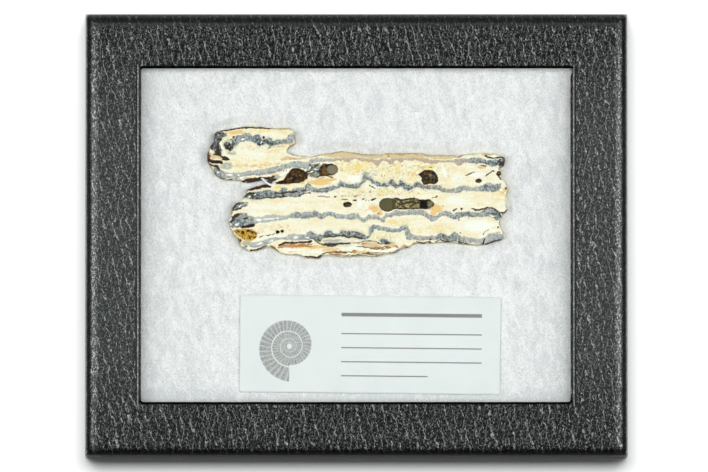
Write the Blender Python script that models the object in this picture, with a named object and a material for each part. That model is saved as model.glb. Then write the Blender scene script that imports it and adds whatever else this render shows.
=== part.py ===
"""Fossil mammoth tooth slice, shown in a shallow display case.

The case lies on its back: +X runs along its long side, +Y up the label, and +Z out of the
window. The origin is the middle of the tray's flat base. The stack, from the base up, is tray,
fibre batting, tooth slice and label card, glass pane, and the lid that slides down over them.
"""

import math
import random

import bmesh
import bpy
from mathutils import Vector

MM = 0.001
GAP = 0.3 * MM  # clearance that resting and nested pieces keep

# The lid: a wrapped card frame whose walls splay a little towards their free edge.
LID_LENGTH = 133.4 * MM
LID_WIDTH = 109.0 * MM
LID_SPLAY = 1.5 * MM
LID_WALL = 1.4 * MM
LID_BOARD = 1.6 * MM
LID_LIFT = 1.0 * MM  # the walls stop this far above the table
LID_EDGE_RADIUS = 2.2 * MM
LID_CORNER_RADIUS = 1.0 * MM
WINDOW_LENGTH = 105.0 * MM
WINDOW_WIDTH = 82.0 * MM
WINDOW_EDGE_RADIUS = 0.6 * MM
WINDOW_CORNER_RADIUS = 0.8 * MM

# The tray and what lies in it.
TRAY_LENGTH = 126.8 * MM
TRAY_WIDTH = 102.4 * MM
TRAY_HEIGHT = 16.0 * MM
TRAY_BOARD = 1.5 * MM
TRAY_CORNER_RADIUS = 1.0 * MM
GLASS_THICKNESS = 2.0 * MM
GLASS_MARGIN = 0.2 * MM  # the pane is this much smaller than the tray all round
GLASS_ARRIS = 0.25 * MM
SLICE_THICKNESS = 6.0 * MM
LABEL_LENGTH = 63.0 * MM
LABEL_WIDTH = 23.6 * MM
LABEL_THICKNESS = 0.35 * MM
LABEL_CENTRE = (3.3 * MM, -26.7 * MM)
LABEL_TURN = math.radians(-0.6)
LABEL_CORNER_RADIUS = 0.5 * MM

# Heights that follow from the stack.
GLASS_BOTTOM = TRAY_HEIGHT + GAP
LID_UNDERSIDE = GLASS_BOTTOM + GLASS_THICKNESS + GAP
LID_TOP = LID_UNDERSIDE + LID_BOARD
SPECIMEN_TOP = GLASS_BOTTOM - GAP
SLICE_BOTTOM = SPECIMEN_TOP - SLICE_THICKNESS
LABEL_BOTTOM = SPECIMEN_TOP - LABEL_THICKNESS
BATTING_BOTTOM = TRAY_BOARD + GAP
BATTING_TOP = LABEL_BOTTOM - GAP
BATTING_SWELL = 0.5 * MM  # how far the soft top rises and dips, always under the glass
BATTING_SHOULDER = 3.0 * MM  # width of the rounded rim of the pad
BATTING_COLUMNS = 14
BATTING_ROWS = 11
CUT_CLEARANCE = 5.0 * MM  # how far cutters reach past the face that they cut

CORNER_STEPS = 4
EDGE_STEPS = 4
SMOOTH_ANGLE = math.radians(35)

# The slice's outline in millimetres about its own middle, clockwise from the left end.
SLICE_CENTRE = (0.4 * MM, 10.1 * MM)
LOBE_LEFT = [
    (-36.4, 7.8), (-36.4, 9.3), (-36.0, 10.2), (-35.7, 11.2), (-34.9, 12.2), (-34.8, 13.3),
    (-34.6, 14.3), (-33.9, 14.9),
]
LOBE_TOP = [
    (-33.0, 15.1), (-31.4, 15.1), (-30.2, 15.5), (-28.4, 15.8), (-26.0, 15.95), (-23.5, 15.8),
    (-21.0, 15.5), (-18.5, 15.5), (-16.6, 15.5), (-15.9, 15.1), (-15.4, 14.4), (-15.5, 13.6),
    (-15.2, 12.7), (-15.3, 11.9), (-16.0, 11.4), (-17.0, 11.1),
]
TOP_EDGE = [
    (-17.3, 10.4), (-17.2, 9.7), (-16.2, 9.2), (-14.6, 8.9), (-12.9, 8.6), (-11.6, 8.5),
    (-10.3, 8.8), (-9.2, 9.15), (-7.8, 9.2), (-6.4, 9.45), (-4.8, 9.8), (-3.4, 9.85),
    (-2.0, 9.6), (0.0, 9.5), (0.9, 9.2), (2.6, 9.1), (4.6, 9.0), (5.8, 9.05), (6.6, 9.4),
    (9.0, 9.4), (11.6, 9.4), (14.8, 9.45), (16.0, 9.15), (17.6, 8.9), (20.0, 8.95),
    (22.8, 8.85), (24.2, 8.6), (25.1, 9.0), (26.6, 9.1), (28.5, 9.4), (30.2, 9.5),
    (31.4, 9.15), (33.2, 9.35), (34.0, 9.0), (35.0, 8.65),
]
RIGHT_END = [
    (35.6, 8.1), (35.5, 7.2), (35.2, 6.5), (34.4, 6.3), (34.1, 5.8), (34.6, 5.3), (34.9, 4.5),
    (34.6, 3.8), (34.9, 3.1), (35.6, 2.7), (36.1, 1.8), (36.3, 1.0), (36.1, 0.1), (35.8, -0.9),
    (35.7, -2.0), (35.8, -3.3), (36.1, -4.1), (35.8, -4.6), (34.8, -5.0), (34.8, -5.9),
    (34.3, -6.6), (34.2, -7.6), (34.7, -8.8), (35.2, -9.6), (34.95, -10.3), (35.1, -11.0),
    (34.4, -11.5), (33.0, -11.7), (32.0, -12.1), (31.2, -12.5),
]
BOTTOM_EDGE = [
    (30.0, -12.65), (28.4, -12.7), (26.4, -12.5), (25.0, -12.3), (23.4, -12.0), (22.0, -11.85),
    (20.4, -11.9), (19.1, -11.95), (18.2, -12.2), (16.0, -12.2), (14.4, -12.1), (13.4, -12.4),
    (12.6, -12.9), (11.8, -13.3), (10.6, -13.35), (9.9, -13.7), (9.0, -14.2), (8.0, -14.8),
    (6.5, -14.85), (5.5, -14.9), (4.6, -15.3), (3.3, -15.4), (2.2, -15.2), (0.2, -15.15),
    (-1.5, -15.4), (-3.2, -15.5), (-4.6, -15.35), (-6.2, -15.15), (-7.6, -15.1),
    (-8.8, -15.15), (-9.6, -15.95), (-10.6, -15.8), (-11.5, -15.65), (-12.3, -15.8),
    (-13.2, -15.4), (-14.4, -15.05), (-15.8, -15.0), (-17.4, -14.9), (-18.5, -14.6),
    (-19.5, -14.1), (-20.3, -13.5), (-21.1, -13.05), (-22.0, -12.95), (-22.9, -13.3),
    (-24.1, -13.8), (-25.2, -14.2), (-26.2, -14.15),
]
LEFT_END = [
    (-27.3, -13.6), (-28.2, -13.1), (-28.7, -12.2), (-29.0, -11.3), (-29.7, -10.6),
    (-30.3, -9.8), (-30.5, -9.0), (-30.9, -8.3), (-31.2, -7.5), (-31.4, -6.8), (-30.9, -6.2),
    (-30.6, -5.4), (-30.5, -4.6), (-30.3, -3.8), (-29.9, -3.1), (-29.2, -2.6), (-28.4, -2.2),
    (-27.9, -1.5), (-27.4, -0.9), (-26.9, -0.4),
]
CLEFT = [  # the split between the small lobe and the body, as far as the thin bridge
    (-27.1, 0.2), (-26.5, 0.75), (-25.2, 1.25), (-23.7, 1.65), (-22.6, 1.85), (-21.9, 2.2),
    (-23.1, 3.15), (-24.6, 2.85), (-26.4, 2.5), (-27.6, 2.6),
]
LOBE_BOTTOM = [
    (-28.5, 3.1), (-29.8, 3.1), (-31.3, 3.1), (-32.6, 3.3), (-33.7, 3.7), (-34.4, 4.2),
    (-34.9, 4.9), (-35.2, 5.7), (-35.7, 6.4), (-36.2, 7.1),
]
SLICE_OUTLINE = (
    LOBE_LEFT + LOBE_TOP + TOP_EDGE + RIGHT_END + BOTTOM_EDGE + LEFT_END + CLEFT + LOBE_BOTTOM
)
# Height above the sawn underside, growth of the outline, and unevenness of the broken rim.
SLICE_RINGS = [
    (0.0, -0.08, 0.0), (0.5, 0.0, 0.05), (1.9, 0.10, 0.12), (3.4, 0.05, 0.12),
    (5.0, 0.06, 0.08), (5.75, 0.0, 0.0), (6.0, -0.08, 0.0),
]
RIM_SEED = 7

# Borings and pits: outline in the slice's millimetres, and depth below the polished face.
THROUGH = 2 * SLICE_THICKNESS / MM
BRIDGE_HOLE = [
    (-21.1, 2.4), (-20.4, 2.5), (-19.8, 2.85), (-19.3, 3.4), (-20.2, 3.6), (-21.3, 3.45),
    (-22.35, 3.3),
]
BROWN_CAVITY = [
    (-18.9, 2.2), (-18.0, 3.0), (-17.3, 4.1), (-16.5, 5.2), (-15.7, 5.9), (-14.6, 6.0),
    (-13.5, 5.5), (-12.5, 4.9), (-12.1, 4.2), (-12.3, 3.3), (-13.2, 2.7), (-14.6, 2.35),
    (-16.6, 2.2),
]
UPPER_BORING = [
    (-10.1, 4.9), (-9.5, 5.9), (-8.6, 6.7), (-7.4, 6.95), (-6.3, 7.0), (-5.3, 6.7),
    (-4.8, 5.9), (-4.95, 5.0), (-5.6, 4.35), (-6.6, 4.0), (-7.8, 4.05), (-8.9, 4.2),
    (-9.6, 4.5),
]
RIGHT_BORING = [
    (14.3, 4.4), (15.3, 4.8), (16.0, 5.3), (16.9, 5.55), (17.9, 5.35), (18.6, 4.9),
    (19.2, 4.3), (19.45, 3.5), (19.4, 2.6), (19.0, 2.15), (18.3, 2.1), (17.5, 2.3),
    (16.4, 1.9), (15.7, 2.3), (15.3, 3.0), (15.4, 3.6), (14.9, 4.0),
]
TUNNEL = [
    (8.2, -1.35), (9.4, -1.45), (10.6, -1.65), (12.5, -1.35), (14.4, -1.6), (16.0, -1.85),
    (17.3, -1.85), (18.1, -2.3), (18.4, -2.9), (18.0, -3.5), (17.2, -4.0), (16.2, -3.95),
    (14.4, -3.9), (12.8, -3.85), (11.2, -4.1), (10.2, -4.1), (9.3, -3.9), (8.2, -4.3),
]
TUNNEL_DEEP_END = [
    (14.7, -1.75), (16.6, -2.0), (16.6, -3.8), (14.8, -3.8),
]
RUSTY_PIT = [
    (-29.3, -9.6), (-28.4, -9.15), (-27.0, -9.0), (-25.6, -9.2), (-24.9, -9.9),
    (-24.6, -10.8), (-25.2, -11.4), (-26.3, -11.7), (-27.4, -11.5), (-28.4, -10.9),
    (-29.1, -10.3),
]
BLACK_CREVICE = [
    (-27.4, -8.45), (-26.8, -8.05), (-25.8, -7.9), (-24.7, -7.7), (-24.9, -8.15),
    (-25.9, -8.4), (-26.8, -8.6),
]
LOBE_CREVICE = [
    (-35.7, 7.75), (-34.8, 7.85), (-33.4, 7.55), (-33.0, 7.25), (-34.2, 7.0), (-35.4, 7.25),
]
PITS = {
    "bridge_hole": (BRIDGE_HOLE, THROUGH),
    "brown_cavity": (BROWN_CAVITY, 2.6),
    "upper_boring": (UPPER_BORING, 1.3),
    "right_boring": (RIGHT_BORING, 1.8),
    "tunnel": (TUNNEL, 1.5),
    "tunnel_deep_end": (TUNNEL_DEEP_END, 3.2),
    "rusty_pit": (RUSTY_PIT, 0.7),
    "black_crevice": (BLACK_CREVICE, 1.0),
    "lobe_crevice": (LOBE_CREVICE, 0.8),
}
# Round borings: centre, half width, half height, and depth, in millimetres.
ROUND_PITS = {
    "filled_boring": ((7.1, -2.9), 2.05, 1.85, 0.5),
    "middle_boring": ((-2.6, -2.9), 1.05, 0.68, 1.6),
    "far_boring": ((29.2, 2.85), 0.8, 0.52, 1.2),
    "twin_hole_left": ((-19.55, -9.55), 0.42, 0.38, 1.0),
    "twin_hole_right": ((-18.5, -9.4), 0.42, 0.3, 1.0),
}
ROUND_PIT_POINTS = 14

# The hollow that the slice presses into the batting, in the slice's millimetres.
POCKET_OUTLINE = [
    (-37.5, 9.0), (-36.9, 12.2), (-35.9, 15.0), (-34.0, 16.3), (-30.5, 16.7), (-26.0, 17.1),
    (-21.0, 16.7), (-16.0, 16.6), (-14.4, 15.3), (-14.1, 12.5), (-14.6, 10.9), (-13.0, 9.8),
    (-9.5, 10.3), (-5.0, 11.0), (-2.0, 10.8), (3.0, 10.3), (9.0, 10.6), (15.0, 10.6),
    (19.0, 10.1), (24.0, 10.1), (28.0, 10.6), (34.5, 10.3), (36.8, 8.9), (36.8, 6.2),
    (36.5, 4.1), (37.5, 2.4), (37.4, -1.0), (37.3, -4.7), (36.1, -6.8), (36.4, -9.4),
    (36.4, -11.5), (34.0, -13.0), (31.5, -13.9), (27.0, -13.9), (22.0, -13.2), (15.0, -13.4),
    (12.5, -14.4), (9.0, -15.8), (4.0, -16.6), (-2.0, -16.7), (-8.0, -16.4), (-9.5, -17.2),
    (-12.5, -17.0), (-14.5, -16.3), (-18.5, -15.9), (-21.5, -14.4), (-25.0, -15.4),
    (-27.5, -14.8), (-29.7, -12.9), (-31.5, -10.4), (-32.5, -7.8), (-32.2, -5.4),
    (-31.4, -3.2), (-30.0, -1.5), (-28.9, 0.3), (-29.2, 1.9), (-32.6, 2.1), (-35.2, 3.4),
    (-36.6, 5.2), (-37.4, 7.2),
]


def reset_scene():
    """Removes every object of the scene."""
    for obj in list(bpy.data.objects):
        bpy.data.objects.remove(obj)


def material(name, colour, roughness, metallic=0.0, transmission=0.0):
    """A Principled material with the finish of one piece."""
    made = bpy.data.materials.new(name)
    made.use_nodes = True
    shader = made.node_tree.nodes["Principled BSDF"]
    shader.inputs["Base Color"].default_value = (*colour, 1.0)
    shader.inputs["Roughness"].default_value = roughness
    shader.inputs["Metallic"].default_value = metallic
    shader.inputs["Transmission Weight"].default_value = transmission
    made.diffuse_color = (*colour, 1.0)
    return made


def add_object(name, mesh_builder, finish=None, location=(0.0, 0.0, 0.0), turn=0.0):
    """Turns a bmesh into a named object in its place, with outward faces."""
    bmesh.ops.recalc_face_normals(mesh_builder, faces=mesh_builder.faces)
    mesh = bpy.data.meshes.new(name)
    mesh_builder.to_mesh(mesh)
    mesh_builder.free()
    obj = bpy.data.objects.new(name, mesh)
    bpy.context.scene.collection.objects.link(obj)
    obj.location = location
    obj.rotation_euler.z = turn
    if finish:
        mesh.materials.append(finish)
        mesh.shade_smooth()
        mesh.set_sharp_from_angle(angle=SMOOTH_ANGLE)
    return obj


def rounded_rectangle(length, width, radius, height):
    """Corner points of a level rounded rectangle, counter-clockwise, as vectors."""
    points = []
    for quarter, (side_x, side_y) in enumerate([(1, 1), (-1, 1), (-1, -1), (1, -1)]):
        middle = Vector((side_x * (length / 2 - radius), side_y * (width / 2 - radius), height))
        for step in range(CORNER_STEPS + 1):
            angle = math.radians(90) * (quarter + step / CORNER_STEPS)
            points.append(middle + radius * Vector((math.cos(angle), math.sin(angle), 0)))
    return points


def loft(loops, closed=False):
    """A closed solid through level loops with equal point counts.

    A closed loft joins its last loop to its first, as a frame does; an open one is capped.
    """
    builder = bmesh.new()
    rings = [[builder.verts.new(point) for point in loop] for loop in loops]
    pairs = list(zip(rings, rings[1:]))
    if closed:
        pairs.append((rings[-1], rings[0]))
    for lower, upper in pairs:
        for i in range(len(lower)):
            j = (i + 1) % len(lower)
            builder.faces.new((lower[i], lower[j], upper[j], upper[i]))
    if not closed:
        builder.faces.new(rings[0])
        builder.faces.new(rings[-1])
    return builder


def prism(outline, bottom, top):
    """A straight-sided solid over an outline given in millimetres."""
    return loft([[Vector((x * MM, y * MM, z)) for x, y in outline] for z in (bottom, top)])


def cut(target, name, cutter_builder, location=(0.0, 0.0, 0.0), turn=0.0):
    """Cuts a hidden wire-drawn solid out of the target with an exact Boolean."""
    cutter = add_object(name, cutter_builder, location=location, turn=turn)
    cutter.hide_render = True
    cutter.display_type = "WIRE"
    modifier = target.modifiers.new(name, "BOOLEAN")
    modifier.operation = "DIFFERENCE"
    modifier.solver = "EXACT"
    modifier.object = cutter


def ellipse(middle, half_width, half_height):
    """Outline points of a round boring, in millimetres."""
    turns = [2 * math.pi * i / ROUND_PIT_POINTS for i in range(ROUND_PIT_POINTS)]
    return [
        (middle[0] + half_width * math.cos(t), middle[1] + half_height * math.sin(t))
        for t in turns
    ]


def grown(outline, distances):
    """The outline, clockwise, with each point moved outwards along its mean edge normal."""
    moved = []
    for i, (x, y) in enumerate(outline):
        before = Vector(outline[i - 1])
        after = Vector(outline[(i + 1) % len(outline)])
        along = ((Vector((x, y)) - before).normalized() + (after - Vector((x, y))).normalized())
        outward = Vector((-along.y, along.x)).normalized()
        moved.append((x + outward.x * distances[i], y + outward.y * distances[i]))
    return moved


def build_tray(finish):
    """The open card tray that everything else stands in."""
    inner_length = TRAY_LENGTH - 2 * TRAY_BOARD
    inner_width = TRAY_WIDTH - 2 * TRAY_BOARD
    inner_radius = TRAY_CORNER_RADIUS / 2
    loops = [
        rounded_rectangle(TRAY_LENGTH, TRAY_WIDTH, TRAY_CORNER_RADIUS, 0.0),
        rounded_rectangle(TRAY_LENGTH, TRAY_WIDTH, TRAY_CORNER_RADIUS, TRAY_HEIGHT),
        rounded_rectangle(inner_length, inner_width, inner_radius, TRAY_HEIGHT),
        rounded_rectangle(inner_length, inner_width, inner_radius, TRAY_BOARD),
    ]
    return add_object("tray", loft(loops), finish)


def lid_wall_loop(height, inset, radius):
    """One level loop of the lid's splayed wall, inset from its outer face."""
    share = (height - LID_LIFT) / (LID_TOP - LID_LIFT)
    narrowing = 2 * (LID_SPLAY * share + inset)
    return rounded_rectangle(LID_LENGTH - narrowing, LID_WIDTH - narrowing, radius, height)


def build_lid(finish):
    """The window frame and its four walls, one folded and wrapped piece of card."""
    rounding = [math.radians(90) * step / EDGE_STEPS for step in range(EDGE_STEPS + 1)]
    edge_base = LID_TOP - LID_EDGE_RADIUS
    outer = [lid_wall_loop(LID_LIFT, 0.0, LID_CORNER_RADIUS)]
    outer += [
        lid_wall_loop(
            edge_base + LID_EDGE_RADIUS * math.sin(angle),
            LID_EDGE_RADIUS * (1 - math.cos(angle)),
            LID_CORNER_RADIUS,
        )
        for angle in rounding
    ]
    window = []
    for angle in reversed(rounding):
        growth = 2 * WINDOW_EDGE_RADIUS * (1 - math.cos(angle))
        window.append(
            rounded_rectangle(
                WINDOW_LENGTH + growth,
                WINDOW_WIDTH + growth,
                WINDOW_CORNER_RADIUS,
                LID_TOP - WINDOW_EDGE_RADIUS * (1 - math.sin(angle)),
            )
        )
    underside = [
        rounded_rectangle(WINDOW_LENGTH, WINDOW_WIDTH, WINDOW_CORNER_RADIUS, LID_UNDERSIDE),
        lid_wall_loop(LID_UNDERSIDE, LID_WALL, LID_CORNER_RADIUS / 2),
        lid_wall_loop(LID_LIFT, LID_WALL, LID_CORNER_RADIUS / 2),
    ]
    return add_object("lid", loft(outer + window + underside, closed=True), finish)


def build_glass(finish):
    """The flat pane between the tray's rim and the lid, with ground edges."""
    length = TRAY_LENGTH - 2 * GLASS_MARGIN
    width = TRAY_WIDTH - 2 * GLASS_MARGIN
    profile = [
        (GLASS_ARRIS, 0.0), (0.0, GLASS_ARRIS), (0.0, GLASS_THICKNESS - GLASS_ARRIS),
        (GLASS_ARRIS, GLASS_THICKNESS),
    ]
    loops = [
        rounded_rectangle(
            length - 2 * inset, width - 2 * inset, TRAY_CORNER_RADIUS, GLASS_BOTTOM + height
        )
        for inset, height in profile
    ]
    return add_object("glass_pane", loft(loops), finish)


def batting_height(x, y):
    """Height of the soft pad's top: shallow swells, falling away at the rim."""
    swell = math.sin(95 * x + 0.6) * math.cos(120 * y - 0.4)
    swell += 0.5 * math.sin(210 * x - 1.1) * math.sin(180 * y + 0.8)
    from_rim = min(BATTING_LENGTH / 2 - abs(x), BATTING_WIDTH / 2 - abs(y))
    fall = max(0.0, 1 - from_rim / BATTING_SHOULDER) ** 2
    return BATTING_TOP - BATTING_SWELL * (0.4 + 0.25 * swell) - BATTING_SHOULDER * 0.6 * fall


BATTING_LENGTH = TRAY_LENGTH - 2 * (TRAY_BOARD + GAP)
BATTING_WIDTH = TRAY_WIDTH - 2 * (TRAY_BOARD + GAP)


def spread(length, count):
    """Grid lines across the pad: its rim, the inside of its shoulder, and even steps between."""
    inner = length / 2 - BATTING_SHOULDER
    steps = [-inner + 2 * inner * i / count for i in range(count + 1)]
    return [-length / 2, *steps, length / 2]


def build_batting(finish):
    """The fibre pad that fills the tray, with hollows under the slice and the label."""
    xs = spread(BATTING_LENGTH, BATTING_COLUMNS)
    ys = spread(BATTING_WIDTH, BATTING_ROWS)
    builder = bmesh.new()
    top = [[builder.verts.new((x, y, batting_height(x, y))) for x in xs] for y in ys]
    for low, high in zip(top, top[1:]):
        for i in range(len(xs) - 1):
            builder.faces.new((low[i], low[i + 1], high[i + 1], high[i]))
    rim = [edge for edge in builder.edges if edge.is_boundary]
    walls = bmesh.ops.extrude_edge_only(builder, edges=rim)["geom"]
    foot = [part for part in walls if isinstance(part, bmesh.types.BMVert)]
    for vert in foot:
        vert.co.z = BATTING_BOTTOM
    base = [edge for edge in builder.edges if edge.is_boundary]
    bmesh.ops.contextual_create(builder, geom=base)
    pad = add_object("batting", builder, finish)
    cut(
        pad,
        "slice_hollow",
        prism(POCKET_OUTLINE, SLICE_BOTTOM - GAP, LID_TOP),
        location=(*SLICE_CENTRE, 0.0),
    )
    return pad


def build_slice(finish):
    """The sawn tooth slice: a polished face, a broken rim, and borings cut into it."""
    noise = random.Random(RIM_SEED)
    loops = []
    for height, growth, unevenness in SLICE_RINGS:
        moves = [growth + noise.uniform(-unevenness, unevenness) for _ in SLICE_OUTLINE]
        outline = grown(SLICE_OUTLINE, moves)
        loops.append([Vector((x, y, height)) * MM for x, y in outline])
    place = (*SLICE_CENTRE, SLICE_BOTTOM)
    piece = add_object("tooth_slice", loft(loops), finish, location=place)
    pits = dict(PITS)
    for name, (middle, half_width, half_height, depth) in ROUND_PITS.items():
        pits[name] = (ellipse(middle, half_width, half_height), depth)
    for name, (outline, depth) in pits.items():
        floor = SLICE_THICKNESS - depth * MM
        cut(piece, name, prism(outline, floor, SLICE_THICKNESS + CUT_CLEARANCE), place)
    return piece


def build_label(finish):
    """The blank card that lies under the glass, turned a little off square."""
    loops = [
        rounded_rectangle(LABEL_LENGTH, LABEL_WIDTH, LABEL_CORNER_RADIUS, height)
        for height in (0.0, LABEL_THICKNESS)
    ]
    place = (*LABEL_CENTRE, LABEL_BOTTOM)
    return add_object("label_card", loft(loops), finish, location=place, turn=LABEL_TURN)


def main():
    """Builds every piece of the cased slice."""
    reset_scene()
    leatherette = material("leatherette", (0.045, 0.047, 0.05), 0.45)
    build_tray(leatherette)
    build_lid(leatherette)
    build_glass(material("clear_glass", (0.95, 0.97, 0.96), 0.02, transmission=1.0))
    build_batting(material("white_batting", (0.80, 0.82, 0.82), 0.95))
    build_slice(material("fossil_ivory", (0.86, 0.76, 0.56), 0.35))
    build_label(material("white_card", (0.86, 0.87, 0.86), 0.6))


main()
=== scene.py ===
"""A polished slice of fossil mammoth tooth in its glass-topped display case.

The case lies on its back, with its window up. Lengths are in metres, in the frame's axes. The
listed features of the slice and of the label are in millimetres about their own middles,
and so are the places in the finishes, about the case's own middle.
"""

from __future__ import annotations

import logging
import math
from dataclasses import dataclass, field
from enum import Enum
from typing import Callable, Iterable, Mapping, Sequence, Union

import bmesh
import bpy
import numpy as np
from mathutils import Matrix, Vector, noise
from mathutils.geometry import tessellate_polygon

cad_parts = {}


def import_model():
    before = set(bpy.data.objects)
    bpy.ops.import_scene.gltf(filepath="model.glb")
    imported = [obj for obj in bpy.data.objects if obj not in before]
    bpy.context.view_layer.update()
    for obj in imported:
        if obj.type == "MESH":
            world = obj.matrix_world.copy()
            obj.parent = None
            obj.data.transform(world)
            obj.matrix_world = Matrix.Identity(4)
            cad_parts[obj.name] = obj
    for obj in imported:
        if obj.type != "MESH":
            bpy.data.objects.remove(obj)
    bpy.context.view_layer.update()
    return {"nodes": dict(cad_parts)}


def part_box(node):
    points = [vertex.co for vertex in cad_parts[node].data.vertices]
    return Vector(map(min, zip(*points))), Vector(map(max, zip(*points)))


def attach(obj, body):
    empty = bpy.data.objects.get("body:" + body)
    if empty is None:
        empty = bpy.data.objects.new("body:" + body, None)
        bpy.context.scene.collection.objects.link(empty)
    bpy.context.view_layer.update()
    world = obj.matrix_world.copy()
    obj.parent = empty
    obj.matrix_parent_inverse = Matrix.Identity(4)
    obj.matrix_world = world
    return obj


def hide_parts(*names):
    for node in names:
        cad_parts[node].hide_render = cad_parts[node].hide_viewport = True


LOG = logging.getLogger("tooth_case")
MM = 0.001
BODY = "root"

Point = tuple[float, float]
Place = tuple[float, float, float]
Colour = tuple[float, float, float]
Array = np.ndarray
Node = bpy.types.Node
Object = bpy.types.Object
Socket = bpy.types.NodeSocket
Operand = Union["Term", Socket, float]


def srgb(red: float, green: float, blue: float) -> Colour:
    """Turns a display colour, from 0 to 255, into the linear one that shaders use."""
    parts = (part / 255 for part in (red, green, blue))
    return tuple(p / 12.92 if p <= 0.04045 else ((p + 0.055) / 1.055) ** 2.4 for p in parts)


# ---------------------------------------------------------------------------
# Shader expressions
# ---------------------------------------------------------------------------


def math_operator(operation: str, reflected: bool = False) -> Callable[[Term, Operand], Term]:
    """Makes one of Term's operators, or its reflected form.

    Args:
        operation: The Math node's operation.
        reflected: True where the other value comes first.

    Returns:
        The operator.
    """

    def apply(term: Term, other: Operand) -> Term:
        """Adds the Math node."""
        values = (other, term) if reflected else (term, other)
        return term.graph.math(operation, *values)

    return apply


@dataclass
class Term:
    """A number that a shader works out, for use in Python arithmetic."""

    graph: Graph
    socket: Socket

    __add__ = __radd__ = math_operator("ADD")
    __sub__, __rsub__ = math_operator("SUBTRACT"), math_operator("SUBTRACT", True)
    __mul__ = __rmul__ = math_operator("MULTIPLY")
    __truediv__, __rtruediv__ = math_operator("DIVIDE"), math_operator("DIVIDE", True)
    least, most = math_operator("MINIMUM"), math_operator("MAXIMUM")

    def __neg__(self) -> Term:
        """Changes the sign."""
        return self * -1.0

    def __abs__(self) -> Term:
        """Drops the sign."""
        return self.graph.math("ABSOLUTE", self)

    def rise(self, low: float, high: float) -> Term:
        """Rises smoothly from 0 at low to 1 at high; falls where low is the larger.

        Args:
            low: The value that gives 0.
            high: The value that gives 1.

        Returns:
            The share from 0 to 1.
        """
        node = self.graph.node(
            "ShaderNodeMapRange",
            {"interpolation_type": "SMOOTHSTEP"},
            {"Value": self, "From Min": low, "From Max": high},
        )
        return Term(self.graph, node.outputs["Result"])


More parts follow.
